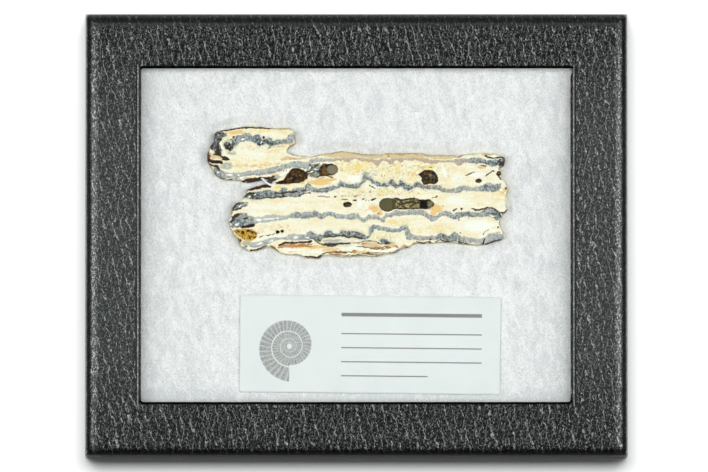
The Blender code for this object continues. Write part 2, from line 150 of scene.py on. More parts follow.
@dataclass
class Graph:
    """The node tree of a material or of a Geometry Nodes group."""

    tree: bpy.types.NodeTree

    def node(
        self,
        kind: str,
        settings: Mapping[str, object] | None = None,
        inputs: Mapping[str | int, object] | None = None,
    ) -> Node:
        """Makes one node.

        Args:
            kind: The node's Blender type.
            settings: Its properties, set before its sockets.
            inputs: What wire gives its sockets.

        Returns:
            The node.
        """
        made = self.tree.nodes.new(kind)
        for name, value in (settings or {}).items():
            setattr(made, name, value)
        self.wire(made, inputs or {})
        return made

    def wire(self, node: Node, inputs: Mapping[str | int, object]) -> None:
        """Links sockets of a node or sets their values.

        Args:
            node: The node.
            inputs: A term, a socket, a node or a value for each socket, which is named by its
                index, its identifier or its name. A node stands for its first output.
        """
        for key, value in inputs.items():
            socket = find_socket(node.inputs, key)
            if isinstance(value, Term):
                value = value.socket
            elif isinstance(value, Node):
                value = value.outputs[0]
            if isinstance(value, Socket):
                self.tree.links.new(value, socket)
            else:
                socket.default_value = (*value, 1.0) if socket.type == "RGBA" else value

    def math(self, operation: str, *values: Operand) -> Term:
        """Makes a Math node over one or two values."""
        node = self.node("ShaderNodeMath", {"operation": operation}, dict(enumerate(values)))
        return Term(self, node.outputs[0])

    def vector(self, operation: str, *values: object) -> Socket:
        """Makes a Vector Math node and returns its vector."""
        settings = {"operation": operation}
        return self.node("ShaderNodeVectorMath", settings, dict(enumerate(values))).outputs[0]

    def place(self, stretch: Point = (1, 1), turn: float = 0, shift: Point = (0, 0)) -> Socket:
        """Object coordinates in millimetres, turned about Z and then stretched.

        Args:
            stretch: The factor along each turned axis; a small one draws a pattern out.
            turn: The pattern's turn in degrees, anticlockwise.
            shift: What is added at the end, to take another part of the same noise.

        Returns:
            The vector socket.
        """
        coordinates = self.node("ShaderNodeTexCoord").outputs["Object"]
        turned = self.node(
            "ShaderNodeMapping",
            {"vector_type": "POINT"},
            {
                "Vector": coordinates,
                "Rotation": (0, 0, math.radians(-turn)),
                "Scale": (1 / MM, 1 / MM, 1 / MM),
            },
        )
        return self.vector("ADD", self.vector("MULTIPLY", turned, (*stretch, 1)), (*shift, 0))

    def noise(
        self,
        per_mm: float,
        detail: float = 2,
        roughness: float = 0.5,
        at: Socket | None = None,
        distortion: float = 0,
    ) -> Term:
        """Fractal noise from 0 to 1, with a mean of about a half, at a place if one is given.

        Args:
            per_mm: Its scale.
            detail: Layers of finer noise.
            roughness: How strong each finer layer is.
            at: The place; the object's own millimetres if none is given.
            distortion: How far it swirls.

        Returns:
            The noise.
        """
        inputs = {
            "Vector": self.place() if at is None else at,
            "Scale": per_mm,
            "Detail": detail,
            "Roughness": roughness,
            "Distortion": distortion,
        }
        return Term(self, self.node("ShaderNodeTexNoise", None, inputs).outputs[0])

    def cells(self, per_mm: float, at: Socket | None = None) -> Term:
        """Distance to the nearest of many scattered points."""
        inputs = {"Vector": self.place() if at is None else at, "Scale": per_mm}
        return Term(self, self.node("ShaderNodeTexVoronoi", None, inputs).outputs["Distance"])

    def mix(self, factor: Operand, first: object, second: object) -> Socket:
        """Mixes two colours and returns the colour socket.

        Args:
            factor: The second colour's share.
            first: A colour or its socket.
            second: Another.

        Returns:
            The mixed colour's socket.
        """
        node = self.node(
            "ShaderNodeMix",
            {"data_type": "RGBA", "clamp_factor": True},
            {"Factor_Float": factor, "A_Color": first, "B_Color": second},
        )
        return find_socket(node.outputs, "Result_Color")

    def axis(self, number: int, where: Socket | None = None) -> Term:
        """One axis of a vector, or of the place: 0 for X, 1 for Y, 2 for Z.

        Args:
            number: 0 for X, 1 for Y, 2 for Z.
            where: The vector, or none.

        Returns:
            The number.
        """
        where = self.place() if where is None else where
        split = self.node("ShaderNodeSeparateXYZ", None, {"Vector": where})
        return Term(self, split.outputs[number])

    def attribute(self, name: str) -> Term:
        """Reads one of the piece's own number attributes."""
        settings = {"attribute_type": "GEOMETRY", "attribute_name": name}
        return Term(self, self.node("ShaderNodeAttribute", settings).outputs["Fac"])

    def bump(self, height: Term, distance: float, strength: float) -> Node:
        """Turns a height, in distances, into a normal that shows with a strength."""
        inputs = {"Height": height, "Distance": distance, "Strength": strength}
        return self.node("ShaderNodeBump", None, inputs)

    def cover(self, shader: Node, cover: Node, share: Term) -> None:
        """Mixes another shader over the material's own one."""
        mixed = self.node("ShaderNodeMixShader", None, {0: share, 1: shader, 2: cover})
        self.wire(self.tree.nodes["Material Output"], {"Surface": mixed})


def find_socket(sockets: Sequence[Socket], key: str | int) -> Socket:
    """Finds a socket by index, or by identifier and then by name.

    Args:
        sockets: A node's inputs or outputs.
        key: The socket's index, identifier or name.

    Returns:
        The socket.
    """
    if isinstance(key, int):
        return sockets[key]
    named = [s for s in sockets if s.identifier == key] or [s for s in sockets if s.name == key]
    return named[0]


# ---------------------------------------------------------------------------
# Finishes
# ---------------------------------------------------------------------------


@dataclass(frozen=True)
class Finish:
    """A named material; each kind paints its own nodes."""

    name: str

    def material(self) -> bpy.types.Material:
        """Makes the material, or finds it where it has been made.

        Returns:
            The material.
        """
        known = bpy.data.materials.get(self.name)
        if known:
            return known
        made = bpy.data.materials.new(self.name)
        made.use_nodes = True
        self.paint(Graph(made.node_tree), made.node_tree.nodes["Principled BSDF"])
        return made

    def paint(self, graph: Graph, shader: Node) -> None:
        """Feeds the shader; each finish does this its own way."""
        raise NotImplementedError


@dataclass(frozen=True)
class Leatherette(Finish):
    """Black paper embossed with a creased leather grain.

    Attributes:
        dark: The hollows of the grain.
        grey: The same on the two side bars, painted lighter where more light falls.
        crest_highlight: The crests, lighter as a painted highlight.
        black: The shaded walls.
        lean_deg: How far the creases lean to the left of the case's width.
        crease_gap: Millimetres from one crease to the next.
        window: The middle of the window.
        lip: From there to the fold beside the window, which has a painted highlight.
    """

    dark: Colour = srgb(13, 15, 14)
    grey: Colour = srgb(41, 45, 44)
    crest_highlight: Colour = srgb(186, 190, 188)
    black: Colour = srgb(8, 8, 7)
    lean_deg: float = 15
    crease_gap: float = 2.05
    window: Point = (-0.15, -0.23)
    lip: float = 52.6

    def paint(self, graph: Graph, shader: Node) -> None:
        """Lays long broken creases over a wormy grain, with painted highlights and painted shade.

        Args:
            graph: The material's tree.
            shader: Its own shader.
        """
        x, y = graph.axis(0), graph.axis(1)
        wander = graph.noise(0.12)
        worms = abs(graph.noise(1.6, 1, at=graph.place((1, 0.6), 9)) - 0.5).rise(0.045, 0.02)
        dots = graph.cells(2.15, graph.place((1.1, 0.7), 20)).rise(0.37, 0.15)
        grain = (worms * 0.35 + dots) * (0.75 + wander * 0.5)
        long_ones = self._creases(graph, self.lean_deg, self.crease_gap, 0)
        short_ones = self._creases(graph, self.lean_deg - 26, 0.7 * self.crease_gap, 7)
        lines = long_ones.most(short_ones * 0.5)
        # A painted highlight along the left and right round edges, weaker towards the ends.
        edge = abs(x).rise(62.1, 62.9) * abs(x).rise(64.1, 63.4)
        edge = edge * (1.1 - abs(y).rise(24, 50) * 0.5)
        # Painted shade: the crests fade on the round back edge.
        back = y.rise(49.8, 50.5)
        # The crests take the lighter colour as a painted highlight; the coat gives them real
        # gloss.
        ridge = grain * 0.27 + lines * (0.44 + dots * 0.6) + edge * (0.06 + grain * 0.55)
        ridge = ridge * (1 - back * 0.7) + back * 0.035
        # A painted dark line beside the window's left and right folds, and a painted highlight on
        # them.
        lip = abs(abs(x - self.window[0]) - self.lip)
        beside = abs(y - self.window[1]).rise(41.4, 40.8)
        ridge = ridge * (1 - lip.rise(0.6, 0.5) * beside * 0.85)
        ridge = (ridge + lip.rise(0.2, 0.1) * beside * (0.2 + grain * 0.75)).least(1.0)
        # Painted light: the side bars' hollows are a lighter grey.
        lit_side_bars = abs(x).rise(51.5, 54.5) * abs(y).rise(50, 24)
        base = graph.mix(lit_side_bars, self.dark, self.grey)
        graph.wire(shader, {
            "Base Color": graph.mix(ridge, base, self.crest_highlight),
            "Coat Weight": ridge * 0.8,
            "Coat Roughness": 0.22,
            "Roughness": 0.3 + wander * 0.08,
            "Specular IOR Level": 0.07,
            "Normal": graph.bump(lines + grain * 0.5, 0.06 * MM, 1.0),
        })
        # A black diffuse cover lays painted shade over the walls and edges in shadow.
        painted_shade = graph.node("ShaderNodeBsdfDiffuse", None, {"Color": self.black})
        graph.cover(shader, painted_shade, graph.attribute("painted_shade"))

    @staticmethod
    def _creases(graph: Graph, lean: float, gap: float, shift: float) -> Term:
        """Thin crooked lines, a gap apart and broken up, on the top and round the ends.

        Args:
            graph: The material's tree.
            lean: How far they lean to the left, in degrees.
            gap: Millimetres from one line to the next.
            shift: Millimetres along, to take other lines.

        Returns:
            1 on the lines, 0 between them.
        """
        down = graph.axis(2) * abs(graph.axis(0)).rise(64.2, 65.2)
        across = graph.axis(0, graph.place((1, 1), lean, (shift, 0))) + down
        along = graph.place((1, 0.45), lean, (0, shift))
        phase = across / gap + graph.noise(0.35, 1, at=along) * 1.2
        phase = phase + graph.noise(1.7, 1, at=along) * 0.6
        line = abs(graph.math("FRACT", phase) - 0.5).rise(0.066, 0.034)
        broken = graph.noise(1.4, 1, at=graph.place((1, 0.9), lean, (0, 3 + shift)))
        return line * broken.rise(0.44, 0.5)


@dataclass(frozen=True)
class BlackPaper(Finish):
    """Smooth black lining paper."""

    colour: Colour = srgb(38, 39, 41)

    def paint(self, graph: Graph, shader: Node) -> None:
        """Gives the paper a faint mottle and a felted surface.

        Args:
            graph: The material's tree.
            shader: Its own shader.
        """
        felt = graph.noise(4, 3, at=graph.place((1, 0.5), 35))
        light = tuple(1.5 * part for part in self.colour)
        graph.wire(shader, {
            "Base Color": graph.mix(graph.noise(0.5, 4, 0.6), self.colour, light),
            "Roughness": 0.62 + felt * 0.2,
            "Normal": graph.bump(felt, 0.03 * MM, 0.6),
        })


@dataclass(frozen=True)
class PaneGlass(Finish):
    """Clear glass that lamps shine through."""

    tint: Colour = srgb(253, 254, 254)

    def paint(self, graph: Graph, shader: Node) -> None:
        """Bends and mirrors sight, and lets the light of lamps pass straight.

        Args:
            graph: The material's tree.
            shader: Its own shader.
        """
        graph.wire(shader, {
            "Base Color": self.tint, "Transmission Weight": 1.0, "Roughness": 0.0, "IOR": 1.5,
        })
        through = graph.node("ShaderNodeBsdfTransparent", None, {"Color": self.tint})
        paths = graph.node("ShaderNodeLightPath").outputs
        lamp_light = Term(graph, paths["Is Shadow Ray"]).most(paths["Is Diffuse Ray"])
        graph.cover(shader, through, lamp_light)


@dataclass(frozen=True)
class Fibre(Finish):
    """White polyester fibre."""

    light: Colour = srgb(252, 252, 251)
    shaded: Colour = srgb(214, 217, 217)

    def paint(self, graph: Graph, shader: Node) -> None:
        """Mottles the fibre mass in drawn-out wisps, and paints shade along the window's edges.

        Args:
            graph: The material's tree.
            shader: Its own shader.
        """
        wisps = graph.noise(0.55, 5, 0.65, graph.place((1, 0.45), 12), 0.6)
        specks = graph.noise(2.8, 3, 0.65, graph.place((1, 0.7), -20))
        shade = graph.axis(1).rise(-36, -39.5) * 0.32 + abs(graph.axis(0)).rise(36, 46) * 0.1
        tone = (wisps * 0.7 + specks * 0.9 - 0.3 - shade * 0.5).rise(0.22, 0.72)
        graph.wire(shader, {
            "Base Color": graph.mix(tone, self.shaded, self.light),
            "Roughness": 0.8 + specks * 0.15,
            "Normal": graph.bump(wisps * 0.6 + specks * 0.7, 0.22 * MM, 0.8),
        })


FIBRE = Fibre("polyester_fibre")


class Mask(str, Enum):
    """The slice's number attributes, which its finish reads."""

    ENAMEL = "enamel"
    ACROSS = "enamel_across"
    SLATE = "enamel_slate"
    MAUVE = "enamel_mauve"
    CEMENT = "cement"
    CLOUD = "cloud"
    GOLD = "gold"
    PEACH = "peach"
    OCHRE = "ochre"
    RUST = "rust"
    PALE = "pale"
    UMBER = "umber"
    CRACK = "crack"
    HOLLOW = "hollow"
    OLIVE = "hollow_olive"
    GREY = "hollow_grey"
    RIM = "rim"
    SIDE = "side"


@dataclass(frozen=True)
class PolishedTooth(Finish):
    """Fossil dentine, cement and enamel, sawn and polished on its face."""

    cream: Colour = srgb(253, 251, 228)
    warm: Colour = srgb(246, 232, 180)
    blush: Colour = srgb(250, 222, 178)
    dusk: Colour = srgb(194, 178, 128)
    butter: Colour = srgb(242, 224, 158)
    speck: Colour = srgb(120, 92, 44)
    cloud: Colour = srgb(178, 182, 164)
    gold: Colour = srgb(246, 222, 132)
    peach: Colour = srgb(240, 200, 126)
    ochre: Colour = srgb(220, 198, 150)
    rust: Colour = srgb(188, 124, 66)
    amber: Colour = srgb(234, 186, 60)
    pale: Colour = srgb(253, 254, 242)
    umber: Colour = srgb(44, 24, 4)
    lilac: Colour = srgb(190, 192, 185)
    steel: Colour = srgb(118, 122, 115)
    teal: Colour = srgb(88, 110, 120)
    charcoal: Colour = srgb(28, 31, 26)
    mauve: Colour = srgb(190, 164, 136)
    glint: Colour = srgb(228, 233, 230)
    ink: Colour = srgb(48, 24, 0)
    black: Colour = srgb(12, 6, 1)
    cavity: Colour = srgb(152, 112, 46)
    olive: Colour = srgb(78, 72, 32)
    moss: Colour = srgb(198, 186, 128)
    slime: Colour = srgb(88, 82, 48)
    sediment: Colour = srgb(128, 124, 94)
    rim_brown: Colour = srgb(84, 68, 40)

    def paint(self, graph: Graph, shader: Node) -> None:
        """Builds the colour up from the tissue to the stains, the enamel and the hollows.

        Args:
            graph: The material's tree.
            shader: Its own shader.
        """
        tissue = self._tissue(graph)
        stained = self._washed(
            graph, tissue, 1.8, Mask.CLOUD, Mask.GOLD, Mask.PEACH, Mask.OCHRE, Mask.RUST
        )
        banded, enamel = self._banded(graph, stained)
        # The pale patches include painted glints and glare; the umber ones are stains.
        washed = self._washed(graph, banded, 1.2, Mask.PALE, Mask.UMBER)
        hollow, side = graph.attribute(Mask.HOLLOW), graph.attribute(Mask.SIDE)
        rough = hollow.most(side) * 0.5
        grit = graph.noise(5, 3, 0.6)
        height = grit * (0.15 + rough * 1.6) + enamel * 0.25
        graph.wire(shader, {
            "Base Color": self._lined(graph, self._pitted(graph, washed)),
            "Roughness": 0.28 + rough + grit * 0.1,
            "Specular IOR Level": 0.2,
            "Normal": graph.bump(height, 0.06 * MM, 0.7),
        })

    def _tissue(self, graph: Graph) -> Socket:
        """Cream dentine with long streaks, and yellower cement with specks.

        Args:
            graph: The material's tree.

        Returns:
            The tissue's colour.
        """
        streaks = graph.noise(1.3, 5, 0.65, graph.place((0.14, 1), -2), 0.4)
        clouds = graph.noise(0.35, 3, 0.55, graph.place((0.6, 1)))
        grain = graph.noise(3.4, 3, 0.7, graph.place((0.6, 1)))
        tone = streaks * 1.2 + clouds * 1.1 + grain * 0.9 - 1.6
        dentine = graph.mix(tone.rise(-0.25, 0.45), self.cream, self.warm)
        drift = graph.noise(0.5, 3, 0.6, graph.place((0.4, 1), 0, (5, 9)))
        dentine = graph.mix((drift + grain * 0.4).rise(0.7, 0.95) * 0.55, dentine, self.blush)
        mottle = graph.noise(1.4, 4, 0.7)
        yellower = (mottle * 1.6 + grain * 1.2 - 0.9).rise(0.2, 0.8)
        butter = graph.mix(yellower, self.cream, self.butter)
        dots = graph.cells(2).rise(0.34, 0.16) * graph.noise(0.8).rise(0.38, 0.56)
        butter = graph.mix(dots * 0.85, butter, self.speck)
        cement = (graph.attribute(Mask.CEMENT) * 1.2 + mottle - 0.6).rise(0.1, 0.6)
        tissue = graph.mix(cement, dentine, butter)
        grit = graph.noise(5.2, 2, 0.6, graph.place((0.7, 1), 10))
        gritty = (grit * 0.8 + grain * 0.6 - 0.7).rise(0.03, 0.3)
        return graph.mix(gritty * 0.35, tissue, self.dusk)

    def _washed(self, graph: Graph, colour: Socket, rough: float, *stains: Mask) -> Socket:
        """Washes stains over a colour, each with an edge as ragged as asked.

        Args:
            graph: The material's tree.
            colour: The colour below.
            rough: How ragged their edges are.
            stains: The stains, from the lowest up.

        Returns:
            The new colour.
        """
        ragged = graph.noise(1.7, 4, 0.7, graph.place((0.55, 1))) - 0.5
        fine = graph.noise(4.4, 3, 0.65, graph.place((0.5, 1), 3)) - 0.5
        for stain in stains:
            amount = graph.attribute(stain)
            spread = (amount * 1.1 + (ragged + fine) * rough - 0.28).rise(0, 0.1 + rough * 0.3)
            share = spread * amount.rise(0, 0.2) * 0.98
            colour = graph.mix(share, colour, getattr(self, stain.value))
        return colour

    def _banded(self, graph: Graph, colour: Socket) -> tuple[Socket, Term]:
        """Draws the enamel over the tissue.

        Args:
            graph: The material's tree.
            colour: The tissue's colour.

        Returns:
            The new colour, and how much of it is enamel.
        """
        ragged = graph.noise(2.6, 3, 0.65) - 0.5
        hatch = graph.noise(4.4, 3, 0.65, graph.place((1, 0.22), 6)) - 0.5
        mottle = graph.noise(1.7, 4, 0.65, graph.place((0.8, 1))) - 0.5
        depth, slate = graph.attribute(Mask.ENAMEL), graph.attribute(Mask.SLATE)
        band = (depth + ragged * 0.34 + hatch * 0.42).rise(-0.13, 0.13)
        halo = depth.rise(-0.8, 0) * (slate + mottle - 0.1).rise(0.1, 0.9)
        colour = graph.mix(halo * 0.5, colour, self.cloud)
        tone = slate + (hatch * 1.5 + mottle * 1.7) * (slate * 1.5 + 0.55)
        tone = tone - graph.attribute(Mask.ACROSS) * 0.1 + depth.rise(0.3, 0) * 0.12
        tint = graph.noise(0.8, 3, 0.6, graph.place((0.7, 1), 0, (3, 8)))
        blue = graph.mix((tint + slate * 0.15).rise(0.46, 0.66), self.steel, self.teal)
        enamel = graph.mix(tone.rise(0, 0.65), self.lilac, blue)
        enamel = graph.mix(tone.rise(0.6, 1.1), enamel, self.charcoal)
        brown = (graph.attribute(Mask.MAUVE) + mottle * 0.9).rise(0.1, 0.9)
        enamel = graph.mix(brown, enamel, self.mauve)
        # Painted glints on the enamel.
        shine = graph.noise(3, 3, 0.7, graph.place((0.8, 1), 0, (7, 3)))
        glints = (shine + slate * 0.03 - depth * 0.04).rise(0.56, 0.66)
        enamel = graph.mix(glints * 0.8, enamel, self.glint)
        return graph.mix(band * 0.96, colour, enamel), band

    def _pitted(self, graph: Graph, colour: Socket) -> Socket:
        """Fills the hollows with dark sediment, and with painted shade where their olive is low.

        Args:
            graph: The material's tree.
            colour: The colour below.

        Returns:
            The new colour.
        """
        grit = graph.noise(1.1, 5, 0.75)
        olive, grey = graph.attribute(Mask.OLIVE), graph.attribute(Mask.GREY)
        # lit: how much of the filling shows; the rest is painted shade in black.
        lit = grit.rise(0.45, 0.6) * (olive + 1.2).rise(0, 0.6)
        inner = graph.mix(lit, self.black, self.cavity)
        yellow = graph.mix((grit * 1.3 - 0.15).rise(0.3, 0.6), self.umber, self.amber)
        inner = graph.mix(olive.rise(-1.5, -2), inner, yellow)
        mossy = graph.mix((grit * 1.4 - 0.2).rise(0.3, 0.75), self.olive, self.moss)
        mossy = graph.mix(olive.rise(1.2, 1.8), mossy, self.slime)
        inner = graph.mix((olive + (grit - 0.5) * 1.6).rise(0.25, 0.75), inner, mossy)
        inner = graph.mix((grey + (grit - 0.5) * 0.3).rise(0.35, 0.65), inner, self.sediment)
        return graph.mix(graph.attribute(Mask.HOLLOW).rise(0.12, 0.5), colour, inner)

    def _lined(self, graph: Graph, colour: Socket) -> Socket:
        """Draws the dark lines, and darkens the outer edge in patches.

        Args:
            graph: The material's tree.
            colour: The colour below.

        Returns:
            The new colour.
        """
        ragged, fine = graph.noise(2.6, 3, 0.65) - 0.5, graph.noise(6, 2, 0.6) - 0.5
        patchy = graph.noise(0.55, 3, 0.6).rise(0.35, 0.65)
        edge = (graph.attribute(Mask.RIM) + ragged * 0.2).rise(0.3, 0.02) * (0.15 + patchy * 0.6)
        lines = (graph.attribute(Mask.CRACK) + fine * 0.22 + ragged * 0.22).rise(-0.06, 0.06)
        return graph.mix(lines, graph.mix(edge, colour, self.rim_brown), self.ink)


@dataclass(frozen=True)
class LabelPaper(Finish):
    """A small white label with grey rules and a spiral shell, printed in grey.

    Attributes:
        paper: The card.
        cloudy: The card where it is duller.
        print_grey: The ink.
        rules: The middle, half the height, the left end and the right end of each rule.
        shell_at: The shell's middle.
        growth: How much wider the shell is after each turn.
        ribs: How many ribs each turn has.
    """

    paper: Colour = srgb(231, 236, 234)
    cloudy: Colour = srgb(224, 230, 228)
    print_grey: Colour = srgb(112, 112, 106)
    rules: Sequence[tuple[float, float, float, float]] = (
        (7.2, 0.42, -7, 27), (2.6, 0.13, -7, 27), (-0.8, 0.13, -7, 27), (-4.2, 0.13, -7, 27),
        (-7.6, 0.13, -7, 14),
    )
    shell_at: Point = (-19.5, -0.6)
    growth: float = 1.9
    ribs: int = 17

    def paint(self, graph: Graph, shader: Node) -> None:
        """Prints the label; its UV map holds its own millimetres.

        Args:
            graph: The material's tree.
            shader: Its own shader.
        """
        uv = graph.node("ShaderNodeUVMap", {"uv_map": "label_mm"}).outputs[0]
        across, up = graph.axis(0, uv), graph.axis(1, uv)
        grain, cloud = graph.noise(2.4, 4, 0.6), graph.noise(0.18, 3)
        tone = graph.mix((cloud * 0.8 + grain * 0.3).rise(0.2, 0.9), self.paper, self.cloudy)
        inked = self._shell(graph, across, up, grain)
        for middle, half, left, right in self.rules:
            rule = abs(up - middle).rise(half + 0.08, half - 0.05)
            rule = rule * across.rise(left - 0.05, left + 0.05)
            inked = inked.most(rule * across.rise(right + 0.05, right - 0.05))
        graph.wire(shader, {
            "Base Color": graph.mix(inked * (0.86 + grain * 0.2), tone, self.print_grey),
            "Roughness": 0.5 + grain * 0.2,
            "Normal": graph.bump(grain, 0.02 * MM, 0.5),
        })

    def _shell(self, graph: Graph, across: Term, up: Term, grain: Term) -> Term:
        """A coiled shell: ribbed whorls that widen as they turn.

        Args:
            graph: The material's tree.
            across: Millimetres along the label.
            up: Millimetres up it.
            grain: The paper's grain.

        Returns:
            How strongly the shell is inked.
        """
        x, y = up - self.shell_at[1], -(across - self.shell_at[0])
        radius = graph.math("SQRT", x * x + y * y) + 0.001
        angle = graph.math("ARCTAN2", y, x) / math.tau
        coil = graph.math("LOGARITHM", radius, math.e) / math.log(self.growth) - angle
        whorl = graph.math("FRACT", coil)
        suture = whorl.rise(0.02, 0.09) * whorl.rise(1, 0.93)
        ribs = abs(graph.math("SINE", angle * (math.tau * self.ribs) + whorl * 2.2)).rise(0.1, 0.7)
        body = coil.rise(2.88, 2.8) * suture * (0.45 + ribs * 0.35) * (0.35 + grain * 1.2)
        return body * radius.rise(0.5, 0.7)


@dataclass(frozen=True)
class StudioPaper(Finish):
    """The pale floor."""

    colour: Colour = (0.86, 0.87, 0.87)

    def paint(self, graph: Graph, shader: Node) -> None:
        """Plain pale paper."""
        graph.wire(shader, {"Base Color": self.colour, "Roughness": 0.9})


# ---------------------------------------------------------------------------
# Shapes
# ---------------------------------------------------------------------------


def signed_distance(x: Array, y: Array, outline: Sequence[Point]) -> Array:
    """Distance to a closed outline, positive inside it.

    Args:
        x: The points' first coordinates.
        y: Their second coordinates.
        outline: The outline's corners.

    Returns:
        The distance of each point.
    """
    inside = np.zeros(x.shape, bool)
    for (x0, y0), (x1, y1) in zip(outline, [*outline[1:], outline[0]]):
        if y1 != y0:
            crosses = (y0 > y) != (y1 > y)
            inside ^= crosses & (x < x0 + (y - y0) * (x1 - x0) / (y1 - y0))
    return np.where(inside, 1.0, -1.0) * trace_distance(x, y, [*outline, outline[0]])


def trace_distance(x: Array, y: Array, course: Sequence[Point]) -> Array:
    """Distance of each point to a line through the course's places.

    Args:
        x: The points' first coordinates.
        y: Their second coordinates.
        course: The line's places, in order.

    Returns:
        The distance of each point.
    """
    nearest = np.full(x.shape, np.inf)
    for (x0, y0), (x1, y1) in zip(course, course[1:]):
        run_x, run_y = x1 - x0, y1 - y0
        length = max(run_x**2 + run_y**2, 1e-12)
        share = np.clip(((x - x0) * run_x + (y - y0) * run_y) / length, 0, 1)
        gap = (x - x0 - share * run_x) ** 2 + (y - y0 - share * run_y) ** 2
        nearest = np.minimum(nearest, gap)
    return np.sqrt(nearest)


def ease(value: Array, low: float, high: float) -> Array:
    """A smooth step from 0 at low to 1 at high."""
    share = np.clip((value - low) / (high - low), 0, 1)
    return share * share * (3 - 2 * share)


def ripple(x: Array, y: Array, per_unit: float, octaves: int = 3, seed: float = 0) -> Array:
    """Smooth repeatable noise from about -1 to 1 at each point.

    Args:
        x: The points' first coordinates.
        y: Their second coordinates.
        per_unit: The noise's scale.
        octaves: Layers of finer noise.
        seed: Which noise it is.

    Returns:
        The value at each point.
    """
    spots = (Vector((px * per_unit, py * per_unit, seed)) for px, py in zip(x.ravel(), y.ravel()))
    values = [noise.fractal(spot, 1.0, 2.0, octaves) for spot in spots]
    return np.array(values).reshape(x.shape)


def cut_sheet(
    field_of: Callable[[Array, Array], Array], low: Point, high: Point, step: float
) -> tuple[Array, list[tuple[int, ...]]]:
    """Meshes the region where a field is positive, on a square grid cut to its border.

    Args:
        field_of: Gives the field at points; it should be about a distance.
        low: The lower corner of the area searched.
        high: Its upper corner.
        step: The grid's spacing.

    Returns:
        The points, as rows of x and y, and the faces, anticlockwise.
    """
    grid_x, grid_y = np.meshgrid(*(np.arange(a, b + step, step) for a, b in zip(low, high)))
    depth = field_of(grid_x, grid_y)
    least = 0.12 * step
    depth = np.where(np.abs(depth) < least, np.copysign(least, depth), depth)
    inside = depth > 0
    index = np.full(depth.shape, -1)
    index[inside] = np.arange(int(inside.sum()))
    points = np.column_stack((grid_x[inside], grid_y[inside])).tolist()
    blocks = (index[:-1, :-1], index[:-1, 1:], index[1:, 1:], index[1:, :-1])
    count = sum((block >= 0).astype(int) for block in blocks)
    whole = count == 4
    faces = [tuple(quad) for quad in np.stack([b[whole] for b in blocks], 1).tolist()]
    crossings: dict[tuple[tuple[int, int], tuple[int, int]], int] = {}
    for row, column in np.argwhere((count > 0) & ~whole).tolist():
        corners = [(row, column), (row, column + 1), (row + 1, column + 1), (row + 1, column)]
        polygon = []
        for here, there in zip(corners, corners[1:] + corners[:1]):
            if inside[here]:
                polygon.append(int(index[here]))
            if inside[here] != inside[there]:
                key = (min(here, there), max(here, there))
                if key not in crossings:
                    share = depth[here] / (depth[here] - depth[there])
                    crossings[key] = len(points)
                    points.append([
                        grid[here] + share * (grid[there] - grid[here])
                        for grid in (grid_x, grid_y)
                    ])
                polygon.append(crossings[key])
        faces.append(tuple(polygon))
    return np.array(points), faces


def border_loops(faces: Sequence[tuple[int, ...]]) -> list[list[int]]:
    """Chains the edges that only one face uses into loops, in the faces' own direction.

    Args:
        faces: The points of each face, in order.

    Returns:
        The loops.
    """
    edges = set()
    for face in faces:
        for start, end in zip(face, (*face[1:], face[0])):
            if (end, start) in edges:
                edges.remove((end, start))
            else:
                edges.add((start, end))
    following = dict(edges)
    loops = []
    while following:
        start, here = following.popitem()
        loop = [start]
        while here != start:
            loop.append(here)
            here = following.pop(here)
        loops.append(loop)
    return loops


def rounded_loop(
    length: float, width: float, radius: float, height: float, spacing: tuple[int, int, int]
) -> list[Place]:
    """A level rounded rectangle with points all along its sides.

    Args:
        length: Its size along X.
        width: Its size along Y.
        radius: Its corners' radius.
        height: Where it lies.
        spacing: Steps on each long side, on each short side and on each corner.

    Returns:
        Its points, anticlockwise from the right side's upper end.
    """
    half_x, half_y = length / 2 - radius, width / 2 - radius
    middles = [(half_x, half_y), (-half_x, half_y), (-half_x, -half_y), (half_x, -half_y)]
    points = []
    for quarter, (x, y) in enumerate(middles):
        for step in range(spacing[2] + 1):
            angle = math.pi / 2 * (quarter + step / spacing[2])
            points.append((x + radius * math.cos(angle), y + radius * math.sin(angle), height))
        last = points[-1]
        next_x, next_y = middles[(quarter + 1) % 4]
        goal = (next_x + radius * math.cos(angle), next_y + radius * math.sin(angle), height)
        count = spacing[quarter % 2]
        points.extend(between(last, goal, step / count) for step in range(1, count))
    return points


def between(first: Place, second: Place, share: float) -> Place:
    """A place on the way from one to another."""
    return tuple(a + (b - a) * share for a, b in zip(first, second))


